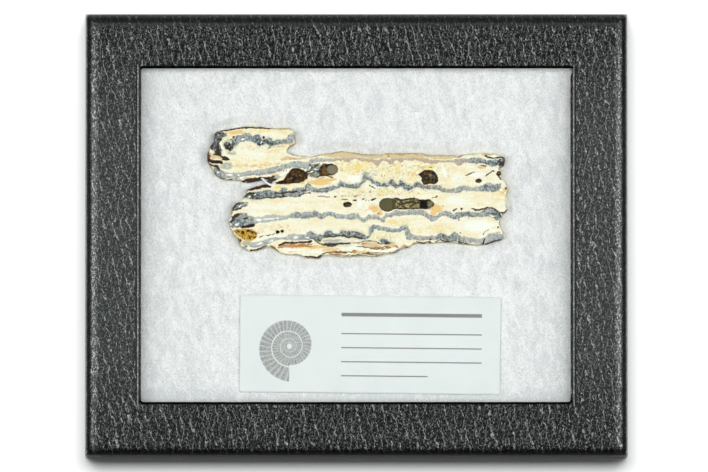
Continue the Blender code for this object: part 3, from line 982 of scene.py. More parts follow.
@dataclass
class Shell:
    """Points and faces of a growing mesh."""

    points: list[Place] = field(default_factory=list)
    faces: list[tuple[int, ...]] = field(default_factory=list)

    def add_points(self, points: Iterable[Sequence[float]]) -> list[int]:
        """Adds points and returns their numbers.

        Args:
            points: Their places.

        Returns:
            Their numbers.
        """
        first = len(self.points)
        self.points.extend(tuple(float(part) for part in point) for point in points)
        return list(range(first, len(self.points)))

    def band(self, first: Sequence[int], second: Sequence[int]) -> None:
        """Joins two loops of equal length; faces look right of the first's direction.

        Args:
            first: The upper loop, anticlockwise for faces that look out.
            second: The lower one, with as many points.
        """
        for i in range(len(first)):
            j = (i + 1) % len(first)
            self.faces.append((first[j], first[i], second[i], second[j]))

    def stack(self, loops: Sequence[Sequence[Place]]) -> None:
        """Joins loops upwards and closes both ends with level faces.

        Args:
            loops: The loops, from the lowest up.
        """
        rings = [self.add_points(loop) for loop in loops]
        for lower, upper in zip(rings, rings[1:]):
            self.band(upper, lower)
        self.cap([rings[0]], up=False)
        self.cap([rings[-1]], up=True)

    def hang(self, rim: Sequence[int], loops: Iterable[Iterable[Place]]) -> list[int]:
        """Hangs loops below a rim, each joined to the last, and returns the lowest.

        Args:
            rim: The points of the upper edge.
            loops: The loops below it.

        Returns:
            The lowest loop's points.
        """
        for loop in loops:
            ring = self.add_points(loop)
            self.band(rim, ring)
            rim = ring
        return rim

    def cap(self, loops: Sequence[Sequence[int]], up: bool) -> None:
        """Fills the area between an outer loop and its holes with level triangles.

        Args:
            loops: The outer loop's points, then those of each hole.
            up: True where the faces look up.
        """
        outlines = [[Vector(self.points[i]) for i in loop] for loop in loops]
        numbers = [i for loop in loops for i in loop]
        for triangle in tessellate_polygon(outlines):
            a, b, c = (numbers[i] for i in triangle)
            start, one, other = (Vector(self.points[i]) for i in (a, b, c))
            facing = (one - start).cross(other - start).z
            if abs(facing) >= 1e-15:
                self.faces.append((a, b, c) if (facing > 0) == up else (a, c, b))

    def to_metres(self, middle: Point = (0, 0)) -> None:
        """Turns millimetres about a middle into metres in the case."""
        shift = (*middle, 0)
        self.points = [tuple((p + s) * MM for p, s in zip(place, shift)) for place in self.points]

    def object(self, name: str, finish: Finish, sharp_deg: float = 60) -> Object:
        """Turns the shell into a smooth-shaded object with its finish.

        Args:
            name: The object's name.
            finish: Its finish.
            sharp_deg: The angle from which its edges are sharp.

        Returns:
            The object.
        """
        mesh = bpy.data.meshes.new(name)
        mesh.from_pydata(self.points, [], self.faces)
        mesh.materials.append(finish.material())
        mesh.shade_smooth()
        mesh.set_sharp_from_angle(angle=math.radians(sharp_deg))
        return put(name, mesh)


def put(name: str, data: bpy.types.ID) -> Object:
    """Puts an object with the data given into the scene.

    Args:
        name: The object's name.
        data: Its mesh, lamp or camera.

    Returns:
        The object.
    """
    made = bpy.data.objects.new(name, data)
    bpy.context.scene.collection.objects.link(made)
    return made


def mark(piece: Object, name: str, values: Array) -> None:
    """Keeps a number at each of a piece's points."""
    layer = piece.data.attributes.new(name, "FLOAT", "POINT")
    layer.data.foreach_set("value", values.astype(np.float32))


def fit_out(piece: Object, slot: str, *nodes: str) -> Object:
    """Rides a finished piece on the case, in place of its solids.

    Args:
        piece: The piece.
        slot: Its material's slot; not used.
        nodes: The solids that it replaces.

    Returns:
        The piece.
    """
    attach(piece, BODY)
    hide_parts(*nodes)
    return piece


# ---------------------------------------------------------------------------
# The slice
# ---------------------------------------------------------------------------


@dataclass(frozen=True)
class Enamel:
    """A ribbon of enamel in the polished face.

    Attributes:
        upper: Places along its upper edge, from left to right.
        lower: Places along its lower edge, from left to right.
        slate: Pairs of a place along X and how dark and blue the enamel is there.
        mauve: Pairs of a place along X and how brown it is there.
    """

    upper: Sequence[Point]
    lower: Sequence[Point]
    slate: Sequence[Point] = ((0, 0.35),)
    mauve: Sequence[Point] = ((0, 0),)

    def lie(self, x: Array, y: Array) -> tuple[Array, Array]:
        """How deep each point lies in the ribbon, and how near the upper edge, -1 to 1.

        Args:
            x: The points' first coordinates.
            y: Their second coordinates.

        Returns:
            The depth, and the place between the edges.
        """
        depth = signed_distance(x, y, [*self.upper, *reversed(self.lower)])
        above = trace_distance(x, y, self.upper)
        below = trace_distance(x, y, self.lower)
        return depth, (below - above) / np.maximum(below + above, 1e-6)


@dataclass(frozen=True)
class Blot:
    """A soft stain: its middle, half sizes, strength and turn in degrees."""

    x: float
    y: float
    half_x: float
    half_y: float
    strength: float = 1
    turn: float = 0

    def spread(self, x: Array, y: Array) -> Array:
        """How strong the stain is at each point, from 0 to its strength.

        Args:
            x: The points' first coordinates.
            y: Their second coordinates.

        Returns:
            The strength at each point.
        """
        turn = math.radians(self.turn)
        along = (x - self.x) * math.cos(turn) + (y - self.y) * math.sin(turn)
        aside = (y - self.y) * math.cos(turn) - (x - self.x) * math.sin(turn)
        reach = np.sqrt((along / self.half_x) ** 2 + (aside / self.half_y) ** 2)
        return self.strength * (1 - ease(reach, 0.45, 1.25))


@dataclass(frozen=True)
class Hollow:
    """A boring or pit in the polished face, or a plug of sediment inside one.

    Attributes:
        outline: Its rim.
        depth: How deep its floor lies.
        wall: How far its wall leans in.
        olive: How green its filling is; below -0.6 painted shade darkens it, and below -1.5 it is
            amber.
        grey: How grey and flat its filling is.
        shade: How strongly its filling colours it.
    """

    outline: Sequence[Point]
    depth: float
    wall: float = 0.35
    olive: float = 0
    grey: float = 0
    shade: float = 1


def oval(x: float, y: float, half_x: float, half_y: float, corners: int = 18) -> list[Point]:
    """Outline of an oval."""
    turns = [math.tau * i / corners for i in range(corners)]
    return [(x + half_x * math.cos(t), y + half_y * math.sin(t)) for t in turns]


RIBBONS = {
    "lobe_side": Enamel(
        ((-34.9, 14.2), (-34.2, 14.8), (-33.2, 14.9), (-32.5, 14.5), (-31.9, 14.2), (-31.8, 13.6)),
        ((-34.9, 13.2), (-35, 12.2), (-35.5, 11.6), (-35.7, 11), (-35, 10.2), (-34.4, 9.3),
         (-33.2, 9.4), (-33.1, 10.2), (-33.2, 11), (-33.5, 11.6), (-33.6, 12.4), (-33.3, 12.8),
         (-32.9, 13.3), (-32.4, 13.3)),
        ((-35, 0.9), (-33, 0.8), (-32, 0.5)),
    ),
    "lobe_top": Enamel(
        ((-32.6, 11.7), (-32.2, 12.3), (-31.4, 12.2), (-30.9, 12.5), (-30.4, 12.7), (-29.6, 13),
         (-29.6, 13.6), (-29, 13.9), (-28.3, 13.9), (-27.7, 14.2), (-27.3, 14.5), (-26.5, 14.4),
         (-26, 14), (-25.3, 13.7), (-24.9, 14), (-24.1, 14), (-23.9, 13.4), (-23.5, 13.1),
         (-23, 12.7), (-22.6, 12.9), (-22, 13.1), (-21.5, 13.5), (-21, 13.2), (-20.7, 12.6),
         (-20.2, 12.4), (-19.7, 12.9), (-19.3, 12.7), (-18.9, 12.9), (-18.5, 12.7), (-18.1, 13),
         (-17.6, 12.9), (-17.2, 13.3), (-16.8, 13.9), (-16.3, 14.1), (-15.6, 14.4), (-15.3, 14.6)),
        ((-32.4, 10.9), (-31.8, 10.3), (-30.7, 10.2), (-30.1, 10.6), (-30, 11.3), (-29.5, 11.9),
         (-28.8, 12.2), (-28, 12.4), (-27, 12.5), (-26.2, 12.4), (-25.4, 12.2), (-24.6, 11.9),
         (-24.2, 11.4), (-23.7, 11.3), (-23, 11.6), (-22.2, 11.7), (-21.5, 11.2), (-20.6, 11.4),
         (-19.5, 11.6), (-18.4, 11.7), (-17.4, 12), (-16.4, 12.1), (-15.6, 12.4), (-15.3, 13),
         (-15.4, 13.8)),
        ((-32, 0.95), (-30.2, 0.8), (-29, 0.45), (-26.5, 0.35), (-25, 0.7), (-22, 0.95),
         (-20.5, 0.6), (-18, 0.45), (-16, 0.2)),
    ),
    "upper": Enamel(
        ((-36, 7.1), (-35, 6.6), (-34.2, 6.6), (-33.6, 6), (-33.1, 5.4), (-32.4, 5.1),
         (-31.5, 4.9), (-28.5, 4.9), (-27, 5.1), (-25.5, 5.3), (-24, 5.5), (-22.5, 5.8),
         (-21, 6.05), (-19.5, 6.2), (-18.7, 6.4), (-18.2, 6.9), (-17, 7.1), (-16, 7.5),
         (-14.8, 7.75), (-13.6, 7.5), (-12.6, 7.3), (-12, 7.6), (-11.2, 8.3), (-10, 8.5),
         (-8.5, 8.4), (-5, 8.3), (-3.5, 8.4), (-1.5, 8.5), (2, 8.2), (3.5, 8.3), (5, 8),
         (5.6, 8.3), (7.5, 8.2), (9, 8.3), (12, 8.4), (15, 8.4), (17, 8.1), (19, 8), (21, 7.9),
         (23, 7.9), (24.3, 8.1), (25.5, 8.3), (27, 8.2), (28, 8.4), (29.5, 8.4), (30.5, 8.1),
         (31.2, 7.7), (32, 7.8), (33.6, 8), (34.6, 8.3), (35.4, 8.2)),
        ((-35, 6.2), (-34.9, 5.2), (-34.5, 4.5), (-33.8, 3.9), (-32.8, 3.5), (-30, 3.5),
         (-29, 3.6), (-28.2, 3.9), (-25.5, 4.1), (-24, 4.1), (-22.5, 4.3), (-21, 4.6), (-20, 4.8),
         (-19, 5.2), (-18, 5.6), (-17, 5.9), (-16, 6.2), (-15, 6.1), (-14, 6), (-13, 5.6),
         (-12.2, 5.8), (-11.8, 6.5), (-11.2, 7.1), (-10.2, 7.4), (-8.5, 7.4), (-7, 7.6),
         (-5.6, 7.5), (-5, 8), (-4.2, 7.6), (-3.8, 7.9), (-3, 7.4), (-2.2, 7.3), (-1.6, 7.9),
         (-1, 8.1), (0, 7.9), (1, 7.5), (1.6, 7.7), (2.8, 7.2), (3.4, 7.5), (3.9, 7.1), (4.2, 6.5),
         (4.8, 6.3), (5.2, 7), (5.8, 7.5), (6.4, 7.7), (7, 7.5), (7.4, 7), (8, 6.8), (8.5, 6.8),
         (8.7, 7.3), (9.2, 7.9), (9.7, 7.6), (10.3, 7.2), (10.8, 7.5), (11.3, 7.9), (13, 7.8),
         (14, 7.9), (15, 7.6), (15.6, 7.3), (16.2, 7.1), (17, 7.3), (17.8, 6.9), (18.6, 6.9),
         (19.3, 7.1), (20, 7.3), (23, 7.3), (23.8, 6.9), (24.4, 6.5), (25, 6.8), (25.6, 7.2),
         (27.4, 7.1), (29, 7.1), (30.8, 6.9), (31.5, 6.7), (32.3, 6.3), (33, 6.3), (33.6, 6.8),
         (34.2, 6.4), (35, 6.4), (35.4, 6.7), (35.6, 7.4)),
        ((-36, 0.7), (-33.2, 0.6), (-32.4, 0.2), (-25, 0.2), (-20, 0.3), (-9, 0.2), (24, 0.25),
         (27.5, 0.4), (31, 0.6), (33, 0.55), (33.8, 1)),
        ((-14, 0.1), (-8, 0.35), (-4, 0.75), (22, 0.75), (26.5, 0.3), (29, 0)),
    ),
    "central": Enamel(
        ((-27.8, -1), (-27.3, -0.6), (-26.6, -0.1), (-24.5, 0.1), (-23.3, 0.3), (-22, 0.6),
         (-21.2, 0.7), (-20.3, 0.4), (-19.3, 0.2), (-18.9, 0.9), (-18.2, 1.2), (-17.4, 1.1),
         (-16.9, 0.5), (-16.2, 0.4), (-15.4, 0.9), (-14.5, 1.2), (-13.2, 1.2), (-12.7, 1.9),
         (-12.1, 2.3), (-11.5, 1.9), (-11, 1.2), (-10, 1.05), (-8, 1.3), (-6, 1.6), (-5.2, 1.6),
         (-4.8, 2), (-4.4, 2.7), (-4, 2.8), (-3.6, 2.4), (-3, 2.05), (-2, 2.05), (-1.2, 2.15),
         (0.1, 2.25), (0.6, 2.2), (0.9, 2.6), (1.1, 3.4), (1.2, 4.2), (1.7, 4.5), (2.1, 4.1),
         (2.5, 3.9), (3, 4.1), (3.4, 3.4), (4, 2.9), (4.8, 2.7), (5.6, 2.4), (7, 2.2), (7.5, 2.6),
         (8, 3.1), (8.5, 3), (9, 2.4), (9.4, 1.8), (9.9, 1.9), (10.2, 2.9), (10.7, 2.8),
         (11.3, 2.3), (11.8, 1.9), (12.6, 1.8), (13.1, 1.5), (13.7, 2.2), (14.2, 2.8), (14.9, 2.7),
         (15.4, 2.1), (16, 1.7), (19, 1.8), (20, 1.7), (20.6, 1.2), (21.5, 1), (23.4, 1),
         (24.2, 1.2), (24.9, 1.6), (25.6, 1.6), (28, 1.3), (29.8, 1.5), (30.4, 1.9), (31, 2.3),
         (31.6, 2.5), (32.2, 2.3), (32.7, 1.8), (33.3, 2.2), (34, 2.1), (34.6, 2.5), (34.8, 1.9)),
        ((-27.3, -1.3), (-26.5, -1.4), (-25.5, -1.7), (-24.5, -1.7), (-23, -1.4), (-21, -1.15),
         (-17, -1.1), (-15, -1.15), (-14, -0.9), (-13.2, -0.1), (-12.4, 0.4), (-11.4, 0.3),
         (-10.5, -0.05), (-7.5, 0), (-6.6, 0.5), (-5.6, 0.7), (-4.9, 1), (-4.2, 1.5), (-3.2, 1.2),
         (-2, 1), (-0.6, 1), (0.4, 1.2), (0.9, 1.9), (1.5, 2.6), (2.2, 3.1), (2.9, 2.9),
         (3.5, 2.2), (4.2, 1.8), (5, 1.5), (6, 1.3), (6.8, 1.2), (7.4, 1.6), (8, 1.9), (8.6, 1.6),
         (9.1, 1.1), (9.6, 1.3), (10.3, 1.6), (10.9, 1.3), (11.5, 0.7), (12.3, 0.6), (13.2, 0.8),
         (13.9, 1.4), (14.6, 1.3), (15.3, 0.8), (18, 0.7), (19.5, 0.7), (20.5, 0.2), (21.5, 0),
         (22.8, -0.2), (24, -0.2), (24.9, 0), (25.3, 0.5), (27, 0.4), (30, 0.2), (31, 0.4),
         (31.8, 0.5), (32.4, 0.2), (33.2, 0.2), (34, 0.6), (34.6, 1), (34.3, 1.3)),
        ((-28, 1.15), (-26, 0.9), (-24, 0.65), (-19.5, 0.45), (-18.5, 0.7), (-17, 0.35),
         (-12, 0.45), (-6, 0.4), (-4, 0.55), (1, 0.55), (4, 0.5), (8.5, 0.8), (13, 0.75),
         (24, 0.3), (29, 0.2), (30.5, 0.5), (34, 0.35)),
        ((12, 0), (15, 0.3), (22, 0.3), (24, 0)),
    ),
    "lower": Enamel(
        ((-31.2, -6.9), (-30.8, -6.4), (-30.3, -5.9), (-29.6, -5.4), (-28.8, -5.1), (-27.8, -5),
         (-26.9, -5.1), (-26.5, -5.7), (-25.5, -5.9), (-23, -5.9), (-22, -5.5), (-21, -5.3),
         (-17.3, -5.6), (-16.5, -5.3), (-15.9, -4.9), (-14, -4.8), (-11.2, -4.7), (-10.8, -4.4),
         (-10, -4.4), (-9.4, -5), (-8.7, -5), (-8.2, -4.8), (-7.5, -4.6), (-5.7, -4.8),
         (-5.2, -5.2), (-3, -5.3), (0, -5.1), (0.5, -5.6), (0.9, -6), (1.4, -6.2), (1.9, -6),
         (2.4, -5.4), (4.4, -5.4), (5.3, -5.8), (6, -6.1), (6.4, -5.8), (6.8, -5.1), (7.8, -4.9),
         (8.6, -4.6), (9.4, -4.3), (10.3, -4.5), (13, -4.2), (15, -4.2), (16, -4.4), (16.8, -5),
         (17.3, -5.5), (18.2, -5.7), (18.9, -5.5), (19.6, -5), (20.5, -4.6), (21.5, -4.4),
         (22.4, -4.7), (23.2, -5.2), (24, -4.8), (25.8, -4.6), (29.5, -4.8), (30.2, -4.3),
         (30.8, -3.9), (31.8, -3.8), (32.8, -4), (33.6, -4.6), (34.2, -5.2), (34.6, -5.9)),
        ((-30.8, -7.5), (-30.4, -8.2), (-29.5, -8.5), (-28, -8.4), (-26, -8), (-24.5, -7.4),
         (-22, -7.2), (-19, -6.8), (-16.8, -6.2), (-13.2, -6.2), (-10.8, -6), (-9.9, -5.9),
         (-9.3, -6.3), (-8.6, -6.3), (-8, -5.9), (-7, -5.6), (-6, -5.8), (-5.2, -6.3),
         (-2.6, -6.4), (0, -6.3), (0.6, -6.6), (1, -7.1), (1.5, -7.3), (2, -6.8), (2.6, -6.4),
         (4.4, -6.5), (5.2, -6.7), (5.7, -7.2), (6.4, -7.2), (6.9, -6.5), (7.3, -5.9), (8.2, -6.1),
         (8.6, -5.6), (10.4, -5.6), (12.6, -5.4), (15.4, -5.4), (16.4, -5.8), (17.1, -6.5),
         (17.7, -7), (18.5, -6.9), (19.1, -6.4), (19.7, -5.9), (21.4, -5.7), (22.2, -6),
         (22.9, -6.4), (23.6, -6.6), (24.3, -6.5), (24.8, -6), (25.4, -5.8), (27.5, -6),
         (29.5, -5.9), (31.5, -5.8), (32.3, -5.9), (33, -6.4), (33.7, -6.8), (34.3, -6.2)),
        ((-31, 0.65), (-28, 0.5), (-26, 0.4), (-24, 0), (-17.5, 0.1), (-15.5, 0.4), (-10, 0.45),
         (-7, 0.25), (22, 0.35), (25.5, 0.55), (29.5, 0.45), (31, 0.3), (34, 0.6)),
        ((4, 0), (6, 0.25), (18, 0.25), (20, 0)),
    ),
    "bottom": Enamel(
        ((-26.2, -12.2), (-25.2, -12), (-24, -11.8), (-22.8, -11.5), (-21.4, -11.1), (-20, -10.8),
         (-17.4, -10.8), (-16.8, -10.2), (-15.3, -10), (-14.5, -10.3), (-12.8, -10.1),
         (-12.2, -9.7), (-11.6, -9.4), (-11, -9.5), (-10.4, -9.8), (-10, -10.3), (-9.5, -10.4),
         (-8.5, -10.3), (-8.2, -9.8), (-7.8, -9.4), (-7, -9.2), (-6.5, -9.5), (-6.2, -9.9),
         (-5.5, -10.1), (-4.2, -9.9), (-4.1, -9.2), (-3.6, -9.1), (-3, -9.4), (-1, -9.4),
         (0, -9.6), (0.8, -9.9), (1.5, -10.2), (1.9, -10.6), (2.3, -10.4), (2.6, -9.9), (2.7, -9),
         (2.7, -8.2), (3.4, -7.9), (4.4, -7.9), (6.4, -8.2), (8.6, -8.7), (10, -8.8), (10.2, -8.3),
         (10.8, -7.9), (11.5, -7.9), (12.1, -8.2), (12.4, -9), (12.4, -9.6), (12.9, -10.1),
         (13.5, -10.5), (19, -10.5), (19.6, -10), (20.2, -9.6), (20.8, -9.9), (21.4, -10.3),
         (22, -10.6), (22.6, -10.2), (23.2, -9.6), (23.9, -9.7), (24.4, -10.1), (25, -10.5),
         (26, -10.8), (28.5, -11.1), (29.5, -11.1), (30.2, -10.9), (31.3, -10.3), (32.2, -9.9),
         (34.2, -10.1), (35, -10.4), (35.2, -10.9)),
        ((-26.2, -13.1), (-25, -13.3), (-23.6, -13.1), (-22.5, -12.6), (-21.2, -12.2),
         (-20, -11.6), (-18.5, -11.3), (-17, -11.6), (-14, -11.6), (-11.8, -11.4), (-11, -11.2),
         (-10.4, -11.4), (-9.8, -11.9), (-9.2, -12), (-8.8, -11.4), (-8.4, -10.8), (-5, -10.8),
         (-4, -10.5), (-3, -10.8), (-0.6, -10.9), (0.4, -11.1), (1.2, -11.3), (2, -11.4),
         (2.8, -11), (3.4, -10.4), (3.6, -9.6), (3.8, -8.9), (4.6, -9.1), (6.8, -9.5), (9, -9.6),
         (10.1, -9.8), (10.5, -9.3), (11, -9), (11.4, -9.4), (11.5, -10.8), (11.9, -11.3),
         (12.6, -11.4), (13.6, -11.6), (19, -11.5), (19.8, -11.2), (20.4, -11.4), (21, -11.8),
         (23.4, -11.7), (25.4, -12.1), (28, -12.2), (30, -12.5), (30.8, -12.6), (31.6, -12.3),
         (32.6, -11.8), (34.6, -11.4)),
        ((-26, 0.15), (-17, 0.15), (-13.5, 0.25), (-11.5, 0.5), (-8, 0.7), (1, 0.8), (2.5, 0.5),
         (4, 0.3), (10, 0.35), (13, 0.3), (18.5, 0.3), (20, 0.6), (24, 0.5), (26, 0.25),
         (30, 0.25), (34, 0.3)),
        ((12.5, 0), (14.5, 0.3), (18, 0.3), (20, 0)),
    ),
    "under": Enamel(
        ((-8.6, -12.3), (-7, -12), (-5.5, -12), (-4.5, -12.2), (-1.6, -12.15)),
        ((-8.4, -12.7), (-7.6, -12.9), (-6.4, -13), (-5.2, -12.9), (-4, -12.55), (-2, -12.45)),
        ((0, 0.95),),
    ),
    "under_right": Enamel(
        ((5.2, -11.5), (6, -11.2), (6.8, -11.4), (7.6, -11.9), (8.5, -12.2)),
        ((5.8, -12.2), (6.4, -12.6), (7.6, -12.4)),
        ((0, 0.9),),
    ),
    "knob": Enamel(
        ((-30.2, -3.7), (-29.6, -3), (-28.8, -2.7), (-28, -2.3), (-27, -2.2), (-26.6, -2.6)),
        ((-30.2, -4.1), (-29.4, -4.1), (-28.4, -3.8), (-27.6, -3.5), (-26.8, -3.1)),
        ((-30, 0.7), (-27, 0.3)),
    ),
    "crystals": Enamel(
        ((-12.6, 5.2), (-12, 5.9), (-11.3, 6.6), (-10.4, 7), (-9.2, 6.9)),
        ((-12.2, 4.2), (-11.6, 3.8), (-10.6, 3.6), (-9.6, 3.7), (-9, 4.3)),
        ((0, 0.4),),
    ),
}

# The open end of the cleft between the lobe and the body.
CLEFT = (
    (-29, 1.5), (-27.9, 2.6), (-26.6, 2.8), (-25.2, 2.95), (-24, 3.15), (-22.8, 3.3), (-21.6, 3),
    (-20.8, 2.7), (-20.5, 2.2), (-21.2, 1.85), (-22.4, 1.8), (-23.6, 1.55), (-24.8, 1.25),
    (-26, 0.8), (-27.3, 0.45), (-28.6, 0),
)

# Dark lines: their courses, by half their width.
LINES: dict[float, Sequence[Sequence[Point]]] = {
    0.42: (
        ((-27, 2.85), (-26, 3), (-25, 3.2), (-23.6, 3.4)),
        ((-36.3, 8.1), (-35.2, 7.6), (-33.2, 7.3)),
    ),
    0.32: (
        ((-26.6, 0.75), (-25, 1.1), (-23.4, 1.35), (-22.2, 1.6), (-21.4, 1.5)),
    ),
    0.3: (
        ((-27.8, -8.3), (-26.6, -8.1), (-25.2, -7.9)),
    ),
    0.26: (
        ((-20, 2.2), (-18.8, 2.4), (-17.6, 2.6)),
    ),
    0.22: (
        ((-27.9, 2.6), (-27, 2.8), (-23.4, 3.45), (-22.6, 3.35), (-21.6, 3.5), (-20.4, 3.95)),
        ((-30.4, -5.9), (-29.8, -5.4), (-29, -5.2)),
    ),
    0.2: (
        ((-27.2, -0.8), (-26.4, -0.3), (-25.2, -0.1)),
        ((-19, -12.6), (-17.4, -12.25), (-15.5, -12.1), (-13.6, -12.2), (-12.2, -12),
         (-11.4, -11.8)),
    ),
    0.17: (
        ((-5.7, -1), (-5.4, -0.95)),
    ),
    0.16: (
        ((-27.3, 0.35), (-26.6, 0.65), (-25.6, 0.85)), ((-36.3, 9.8), (-36.4, 8.6), (-36.2, 7.6)),
        ((-34.9, 9.3), (-33.4, 9), (-32.4, 8.5), (-31.3, 8.1), (-32.6, 8)),
        ((-36, 7), (-35, 6.4), (-34.2, 6.2), (-33.4, 5.5)),
        ((-9.3, 5.9), (-8.8, 6.5), (-8.2, 6.8), (-7.4, 6.6), (-6.4, 6.95)),
        ((17.4, -11.5), (17.7, -11.3)),
    ),
    0.15: (
        ((-30.2, -4.05), (-30.3, -3.6), (-29.7, -2.95), (-28.8, -2.6), (-28, -2.3)),
        ((-1, -1.9), (-0.5, -1.9)), ((1, -1.65), (1.4, -1.6)), ((30.3, -12.3), (30.5, -11.2)),
        ((-12.7, -15.5), (-11.8, -15.6), (-11.2, -15.5), (-10.6, -15.8), (-9.8, -15.85),
         (-9.2, -15.2)),
    ),
    0.14: (
        ((-20, -0.05), (-18.4, -0.2), (-16.6, 0.1), (-14.6, 0.2)),
        ((-8.8, -12.6), (-6.8, -12.65), (-4.6, -12.4), (-2.2, -12.2)),
        ((-33.9, 12.9), (-33.1, 12.9), (-33.9, 12), (-34.2, 11), (-33.7, 10.4)),
        ((-13.6, 0.55), (-12.9, 0.6)),
    ),
    0.13: (
        ((-33.2, 15), (-31.4, 15), (-30, 15.45), (-28, 15.75), (-25.5, 15.85), (-23, 15.7),
         (-21.6, 15.5)),
        ((8.8, -1.4), (9.8, -1.5), (10.6, -1.9), (11.4, -1.6), (12.6, -1.3), (13.6, -1.4),
         (14.8, -1.7), (16.5, -1.9), (17.2, -1.8), (17.6, -2.2)),
        ((23.1, -4.2), (23.9, -4)), ((27.6, -3.9), (28.2, -4.1), (28.8, -4.25), (29.4, -4.1)),
        ((29.4, -4.1), (30.4, -3.9), (31.4, -3.6), (32.2, -3.6), (33, -4), (33.7, -4.6),
         (34.2, -5.1), (34.6, -5.9)),
    ),
    0.12: (
        ((-12.2, 4.4), (-11.4, 4.6), (-10.7, 4.7), (-10.4, 5.2), (-9.8, 5.3), (-9.3, 5.1)),
        ((-10, 3.7), (-9.2, 4.2), (-8.4, 4), (-7.4, 4.1), (-6.2, 3.8)), ((3.3, -1.8), (4.4, -1.5)),
        ((34.2, -5), (35.4, -4.9), (36, -4.3)), ((30.9, 4), (31.6, 4.7), (32.4, 5.2), (33, 5.2)),
        ((34.1, 3.9), (34.5, 3.2)),
        ((30.8, 9), (31.6, 8.5), (32.6, 8.3), (33.8, 8.5), (34.8, 8.6), (35.3, 8.2)),
        ((30.9, -12.5), (32, -12.1), (33.2, -11.7), (34.6, -11.4)),
        ((-26, -13.95), (-24.6, -13.8), (-23.2, -13.3), (-22.2, -13)),
        ((-30.2, -4.05), (-29.4, -4.1), (-28.4, -3.8)),
        ((-31, -7.3), (-30.6, -6.7), (-30.2, -6.2)),
    ),
    0.11: (
        ((-8.3, -10.7), (-6.5, -10.75), (-4.5, -10.5), (-3.2, -10.5), (-2.4, -10.8), (-0.4, -10.9),
         (1, -11.2)),
    ),
    0.1: (
        ((-24.6, -1.6), (-22, -1.2), (-19, -1.2), (-17.2, -0.9)),
        ((8.8, -1.8), (9.8, -2.6), (10.8, -3.3), (11.8, -3.6)),
        ((12.6, -3.4), (13.6, -2.8), (14.8, -2.2)),
        ((-35, 14), (-35, 12.8), (-35.3, 11.9), (-35.7, 11.2), (-35.3, 10.4)),
        ((-18.3, -0.6), (-17.7, -0.95), (-17.2, -0.95)), ((2.9, 1.8), (3.4, 1.3), (4, 0.95)),
        ((8.6, -3.9), (10.2, -4), (12, -3.9), (14, -3.9), (16.6, -3.95)),
        ((9.6, -2.6), (10.4, -2.3), (11.2, -2.6), (12.4, -2.5), (13.4, -2.4), (14.4, -2.6)),
        ((33.3, 7), (34.2, 7.7), (34.9, 7.2), (35.3, 7.6)),
        ((14.4, -12), (16, -12.1), (17.6, -12.05)),
        ((-11.2, -11.1), (-10.4, -11.5), (-9.8, -12.1), (-9, -12.4), (-7.6, -12.9), (-6.2, -13.1)),
        ((-30.1, -3.7), (-29.6, -3), (-28.8, -2.7), (-28, -2.3)), ((-30.7, -8.1), (-30.2, -8.5)),
    ),
    0.09: (
        ((9.4, -3.5), (10.6, -2.8), (12, -2.2), (13.4, -2)),
        ((-11.9, 6.9), (-11.2, 6), (-10.4, 6.4), (-9.4, 7.1)),
        ((-12.6, 5), (-11.6, 5.3), (-11.3, 6.1)),
        ((-14.4, -0.65), (-13.4, -0.35), (-12.4, -0.15), (-11.8, 0), (-11.6, -0.3)),
    ),
    0.08: (
        ((-33, 3.35), (-32.2, 3.3)), ((-31.4, 3.15), (-29.5, 3.2)), ((-0.9, -1), (-0.2, -0.75)),
        ((18, -2.2), (18.3, -2.8), (18.1, -3.4)), ((31.2, -4.8), (32.4, -5), (33.2, -5.3)),
    ),
    0.07: (
        ((18.8, -11.9), (19.8, -11.5), (21, -11.8), (23.5, -11.8), (25, -12.2), (26.5, -12.3)),
        ((-7, -15), (-5, -15.1), (-2.4, -15.2), (-0.6, -15.15), (0.4, -15)),
        ((1, -14.9), (2.2, -14.5), (4, -14.6), (5.4, -14.5), (8, -14.7), (9.2, -14.2),
         (10, -13.7)),
        ((-1.2, -12.3), (1.5, -11.9), (4, -11.8), (5.4, -12.4), (6.8, -12.6)),
        ((-0.5, -13.1), (2, -13.2), (4.5, -13.7), (6.2, -13.2), (8, -13.3)),
        ((-21.4, -12.9), (-20.3, -13.4), (-19.3, -14.2)),
    ),
    0.06: (
        ((-10.8, 0.5), (-9.4, 0.25), (-7.6, 0.3)), ((-9.4, 0.95), (-8, 1), (-6.8, 0.9)),
        ((-9.6, -1), (-7, -1)), ((17.8, -1.3), (19, -1)),
        ((-8.8, -14.8), (-6.6, -14.3), (-5.4, -14.3), (-3.6, -14.6), (-1.6, -14.4)),
        ((2, -14.7), (3.4, -15.2), (5, -15.15)),
        ((-24, -10.9), (-23, -10.5), (-21, -10.2), (-19.6, -9.9)),
        ((26, 4.2), (27, 4.6), (28.2, 4.9)),
    ),
    0.05: (
        ((-4, -0.8), (-3, -0.8)), ((-4, -1.7), (-2.4, -1.6)),
        ((30.2, -10.2), (31.2, -9.2), (31.6, -8.8)),
    ),
}

